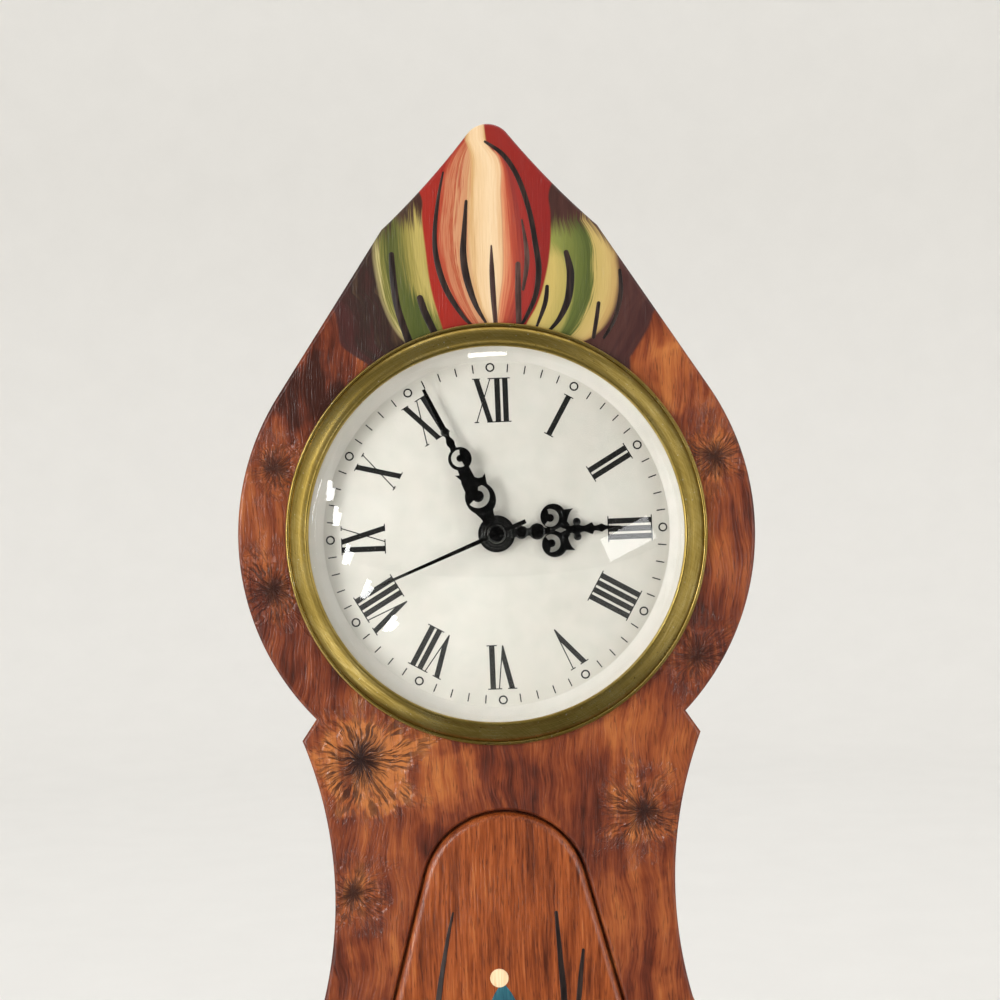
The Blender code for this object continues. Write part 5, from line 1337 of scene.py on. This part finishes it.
def softened(profile, radius, steps=4):
    """Profile with its inner corners rounded, so flats stay flat and edges catch a thin line of light."""
    points = [Vector(point) for point in profile]
    path = [profile[0]]
    for before, corner, after in zip(points, points[1:], points[2:]):
        start = corner + (before - corner).normalized() * min(radius, (before - corner).length / 2)
        end = corner + (after - corner).normalized() * min(radius, (after - corner).length / 2)
        for step in range(steps + 1):
            share = step / steps
            path.append(tuple(start.lerp(corner, share).lerp(corner.lerp(end, share), share)))
    return path + [profile[-1]]


def stamped_hand(name, boss, plates, rise, turn, body, node):
    """Join the turned boss and the plates of one hand, turn it to its hour and let it ride on its body."""
    bm = turned([(radius, rise + lift) for radius, lift in boss], closed=boss[0][0] > 0, steps=BOSS_STEPS)
    for tier, edge, loops in plates:
        front = rise + HAND_THICK + tier * TIER
        flat_piece(loops, front, rise - tier * TIER / 4, edge, 4, bm)
    bmesh.ops.rotate(bm, verts=bm.verts[:], cent=(0.0, 0.0, 0.0), matrix=Matrix.Rotation(turn, 3, "Y"))
    make_piece(name, bm, lacquer, body, [node], even=True)


# Black stoving lacquer: nearly no colour of its own, so its shine and the rounded edges draw the shapes
lacquer, tree, shader = new_material("black_lacquer_on_stamped_steel", Coat_Weight=0.3, Coat_Roughness=0.1)
orange_peel = add(tree, "TexNoise", drawing_place(tree), sockets={"Scale": 1.8, "Detail": 3.0})
shade = add(tree, "ValToRGB", orange_peel, stops=[(0.3, "#050505"), (0.7, "#0D0C0B")])
rough = add(tree, "MapRange", orange_peel, 0.3, 0.7, 0.10, 0.19)
feed(tree, shader, Base_Color=shade, Roughness=rough)
relief(tree, shader, orange_peel, 0.015, 0.2)

HOUR_BOSS = softened([
    (2.75, 0.0), (2.75, 0.95), (3.45, 0.95), (3.62, 0.7), (4.4, 0.7), (4.4, 0.0),
], BOSS_ROUND)
SCROLL = curl((-3.0, 12.85), 2.1, 0.95, -40, 194)
LEAF = [
    (-4.7, 15.6), (-4.85, 16.6), (-4.95, 18.4), (-4.2, 17.7), (-3.2, 17.2), (-2.0, 16.85), (-1.0, 17.5),
    (-0.9, 16.0), (-1.6, 15.5), (-3.0, 15.7),
]
# Plates are a tier, an edge radius and loops, of which later ones are openings
hour_plates = [
    (0, HAND_EDGE, [
        stem([(3.6, 1.15), (6.0, 0.9), (8.0, 0.95), (10.4, 1.1), (12.0, 0.7), (13.1, 0.7), (13.6, 0.75)]),
    ]),
    (0, HAND_EDGE, [
        stem([(13.0, 0.66), (14.2, 1.0), (15.2, 1.3), (16.4, 1.15), (17.8, 0.85), (18.6, 1.1)]),
        [(0.0, 13.9), (0.62, 15.2), (0.0, 16.5), (-0.62, 15.2)],
    ]),
    (0, HAND_EDGE, [
        stem([(18.0, 0.95), (19.0, 1.25), (20.2, 0.8), (21.0, 0.75), (22.4, 1.35), (22.8, 1.3), (23.2, 0.62),
              (24.2, 0.75), (24.9, 0.98), (25.6, 0.66), (26.4, 0.42), (29.5, 0.2)]),
    ]),
    (2, BEAD_EDGE, [circle((0.0, 5.9), 1.6, 0.3)]),
    (3, BEAD_EDGE, [circle((0.0, 9.6), 1.95, 0.3)]),
]
for flip in (False, True):
    shapes = [
        (1, HAND_EDGE, [circle((-3.3, 13.6), 3.05, 0.35), SCROLL]),
        (2, HAND_EDGE, [LEAF]),
        (2, BEAD_EDGE, [circle((-1.75, 19.1), 0.95, 0.25)]),
    ]
    for tier, edge, loops in shapes:
        hour_plates.append((tier, edge, [mirrored(loop) for loop in loops] if flip else loops))
stamped_hand("openwork_hour_hand", HOUR_BOSS, hour_plates, HOUR_RISE, HOUR_TURN, "hour", "hour_hand")

MINUTE_BOSS = softened([(1.8, 0.0), (1.8, 0.95), (2.7, 0.93), (2.9, 0.78), (2.9, 0.0)], BOSS_ROUND)
OVAL = [(0.4 + x * 3.6 / 3.8, 9.2 + h * 4.05 / 3.8) for x, h in circle((0.0, 0.0), 3.8, 0.4)]
minute_plates = [
    (0, HAND_EDGE, [stem([(2.3, 1.75), (4.4, 1.6), (6.4, 2.3)])]),
    (1, HAND_EDGE, [OVAL, curl((0.1, 9.9), 2.75, 1.4, -162, 62)]),
    (0, HAND_EDGE, [
        [(-2.2, 11.6), (-2.1, 14.2), (-1.7, 15.4), (-1.45, 17.5), (1.4, 17.5), (1.45, 15.4), (1.5, 13.6),
         (2.4, 11.9)],
    ]),
    (2, HAND_EDGE, [
        [(3.3, 11.3), (3.55, 12.4), (4.0, 14.05), (3.1, 13.5), (2.1, 13.75), (1.2, 14.6), (1.0, 12.4)],
    ]),
    (2, HAND_EDGE, [[(-1.2, 14.2), (-1.9, 15.1), (-2.55, 16.7), (-1.7, 16.3), (-0.8, 16.9)]]),
    (1, HAND_EDGE, [circle((0.3, 19.7), 2.8, 0.35), curl((0.35, 19.8), 2.05, 0.85, 68, 274)]),
    (0, HAND_EDGE, [
        stem([(22.1, 0.95), (23.0, 0.75), (23.9, 1.0), (24.7, 0.85), (25.6, 0.55), (26.3, 0.85), (26.9, 1.08),
              (27.6, 0.75), (28.4, 0.66), (37.4, 0.42), (38.0, 0.3)]),
    ]),
    (2, BEAD_EDGE, [circle((0.0, 27.0), 1.0, 0.25)]),
]
stamped_hand(
    "openwork_minute_hand", MINUTE_BOSS, minute_plates, MINUTE_RISE, MINUTE_TURN, "minute", "minute_hand",
)

CAP = softened([
    (0.0, 1.25), (1.85, 1.2), (2.15, 0.95), (2.25, 0.6), (2.25, -0.25), (0.8, -0.3), (0.8, 0.1), (0.0, 0.1),
], BOSS_ROUND)
second_plates = [(0, HAND_EDGE, [stem([(-7.5, 0.52), (0.0, 0.56), (12.0, 0.46), (30.5, 0.3)])])]
stamped_hand("second_hand_with_cap", CAP, second_plates, SECOND_RISE, SECOND_TURN, "seconds", "second_hand")

# %% [markdown]
# The movement, its wheels, the screws and the blocks inside keep their own solids. Seen through the hole in
# the back they still need finishes, and these differ only in a few values: two tones, how metallic and how
# rough they are, and the size and depth of their marks. So one function mixes them from a short table. A
# bevel modifier rounds the edges of the moulded housing, as every mould does.

# %% Finishes for the works
FINISHES = dict(
    steel=("zinc_plated_steel", "#84878A", "#B4B7B8", 1.0, 0.34, (0.5, 4.0), 0.02),
    spring_steel=("nickel_plated_spring_steel", "#A39F95", "#C8C4BA", 1.0, 0.28, (0.4, 6.0), 0.01),
    wheel_plastic=("moulded_white_acetal", "#CFCBBE", "#E2DFD5", 0.0, 0.42, (1.2, 1.2), 0.02),
    wheel_brass=("turned_brass", "#9C7B38", "#C6A65C", 1.0, 0.3, (0.3, 2.5), 0.02),
    magnet=("sintered_ferrite", "#242426", "#454549", 0.3, 0.6, (0.25, 0.25), 0.05),
    copper=("enamelled_copper_wire", "#7A3516", "#B8642F", 0.9, 0.3, (8.0, 0.22), 0.08),
    circuit_green=("solder_resist", "#0F4226", "#1E6B40", 0.0, 0.3, (1.6, 0.8), 0.03),
    battery_wrap=("shrunk_plastic_sleeve", "#7C2417", "#96341F", 0.0, 0.3, (3.0, 9.0), 0.03),
    black_plastic=("spark_textured_black_plastic", "#17171A", "#2E2E32", 0.0, 0.46, (0.35, 0.35), 0.06),
    rubber=("cut_black_rubber", "#111110", "#222120", 0.0, 0.75, (0.6, 2.5), 0.08),
)


def works_finish(name, dark, pale, metallic, gloss, marks, depth):
    """Two mottled tones with matching changes of roughness and height, at the size of the real marks."""
    material, tree, shader = new_material(name, Metallic=metallic)
    grain = streaks(tree, drawing_place(tree), *marks, 2.0)
    shade = add(tree, "ValToRGB", grain, stops=[(0.32, dark), (0.68, pale)])
    rough = add(tree, "MapRange", grain, 0.3, 0.7, gloss + 0.07, gloss - 0.07)
    feed(tree, shader, Base_Color=shade, Roughness=rough)
    relief(tree, shader, grain, depth, 0.5)
    return material


MOULDED_ROUND = 0.4
MOULDED_ANGLE = math.radians(40.0)
finishes = {slot: works_finish(*values) for slot, values in FINISHES.items()}
finishes["back_wood"] = birch
dressed = 0
for row in frame["record"]["subparts"]:
    if row["material_slot"] in finishes:
        nodes[row["node"]].material_slots[0].material = finishes[row["material_slot"]]
        dressed += 1
for name in ("movement_front", "movement_rear"):
    moulded = nodes[name].modifiers.new("moulded edges", "BEVEL")
    moulded.width = MOULDED_ROUND * MM
    moulded.segments = 2
    moulded.limit_method = "ANGLE"
    moulded.angle_limit = MOULDED_ANGLE
print(dressed, "solids of the frame keep their shape")

# %% [markdown]
# Three kinds of small piece at the back are worth drawing again. The screws have a rounded head and a slot.
# The battery is a steel can in a shrunk sleeve that laps over both ends, so it is two turned pieces laid on
# their side. The knob that sets the hands is fluted for the finger and thumb, and sunk in the middle.

# %% Back pieces
SLOT_HALF = 0.32
SLOT_REACH = 0.7
SLOT_DEPTH = 0.75
SLOT_TURN = 0.5
NEXT_TURN = 0.9
HEAD_ROUND = 0.22
HEAD_THICK = 1.25
HEAD_STEP = 0.3
LAP = 0.05
CELL_STEPS = 64
SLEEVE_ROUND = 0.25
CAN_ROUND = 0.3
FLUTES = 18
FLUTE_STEPS = 6
FLUTE_DEPTH = 0.6
KNOB_ROUND = 0.4
DISH_RADIUS = 4.3
DISH_DEPTH = 1.0
DISH_STEP = 0.4
FLOOR_LAP = 0.2
FLOOR_SET_BACK = 0.1


def rises_of(name):
    """Rises of the front and the back of a frame node."""
    low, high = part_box(name)
    return (FRONT - low.y) / MM, (FRONT - high.y) / MM


def slotted_screw(node, turn):
    """Screw with a rounded and slotted head at its back end, whose slot stands at a turn."""
    tip, top = rises_of(node)
    spot = middle_of(node)
    low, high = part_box(node)
    radius = (high.x - low.x) / 2 / MM
    reach = radius * SLOT_REACH
    slot = [(-reach, -SLOT_HALF), (reach, -SLOT_HALF), (reach, SLOT_HALF), (-reach, SLOT_HALF)]
    slot = [(x + spot[0], h + spot[1]) for x, h in turned_loop(slot, 0.0, turn)]
    bm = flat_piece([circle(spot, radius, HEAD_STEP), slot], top, top + SLOT_DEPTH, HEAD_ROUND, 3)
    floor = circle(spot, radius - LAP, HEAD_STEP)
    flat_piece([floor], top + SLOT_DEPTH - LAP, top + HEAD_THICK, bm=bm)
    return flat_piece([circle(spot, radius / 2, HEAD_STEP)], top + HEAD_THICK - LAP, tip, bm=bm)


for number, node in enumerate(("back_screw_1", "back_screw_2", "back_screw_3", "back_screw_4",
                               "movement_screw_left", "movement_screw_right")):
    screw = slotted_screw(node, SLOT_TURN + number * NEXT_TURN)
    make_piece(f"slotted_{node}", screw, finishes["steel"], "case", [node])

cell_low, cell_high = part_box("battery")
cell_middle = (cell_low + cell_high) / 2
lay_along = (
    Matrix.Translation((cell_middle.x / MM, (cell_middle.y - FRONT) / MM, (cell_middle.z - DIAL_Z) / MM))
    @ Matrix.Rotation(math.pi / 2, 4, "Z")
)
SLEEVE = softened([
    (5.7, -25.0), (6.9, -25.0), (7.1, -24.5), (7.1, 23.2), (6.8, 23.9), (5.2, 24.0), (5.2, 23.7), (6.7, 23.5),
    (6.8, -24.6), (5.7, -24.7), (5.7, -25.0),
], SLEEVE_ROUND)[:-1]
CAN = softened([
    (0.0, -25.25), (5.3, -25.25), (5.6, -24.9), (6.6, -24.5), (6.6, 23.4), (3.0, 23.8), (2.7, 24.0),
    (2.7, 25.25), (0.0, 25.25),
], CAN_ROUND)
for name, profile, closed, finish, stands_for in (
    ("battery_sleeve", SLEEVE, True, "battery_wrap", ["battery"]),
    ("battery_can", CAN, False, "spring_steel", []),
):
    bm = turned(profile, closed, CELL_STEPS)
    bmesh.ops.transform(bm, matrix=lay_along, verts=bm.verts[:])
    make_piece(name, bm, finishes[finish], "cell", stands_for, even=True)

knob_front, knob_back = rises_of("set_knob")
knob_spot = middle_of("set_knob")
knob_radius = (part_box("set_knob")[1].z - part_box("set_knob")[0].z) / 2 / MM
fluted = []
for step in range(FLUTES * FLUTE_STEPS):
    turn = 2 * math.pi * step / (FLUTES * FLUTE_STEPS)
    radius = knob_radius - FLUTE_DEPTH * (0.5 - 0.5 * math.cos(FLUTES * turn))
    fluted.append((knob_spot[0] + radius * math.sin(turn), knob_spot[1] + radius * math.cos(turn)))
dish = circle(knob_spot, DISH_RADIUS, DISH_STEP)
knob = flat_piece([fluted, dish], knob_back, knob_front, KNOB_ROUND, 3)
floor = circle(knob_spot, DISH_RADIUS + FLOOR_LAP, DISH_STEP)
flat_piece([floor], knob_back + DISH_DEPTH, knob_front - FLOOR_SET_BACK, bm=knob)
make_piece(
    "fluted_set_knob", knob, finishes["black_plastic"], "setting", ["set_knob"], even=True,
)

# %% [markdown]
# A last update of the view layer puts every piece in its place.

# %% Finish
bpy.context.view_layer.update()
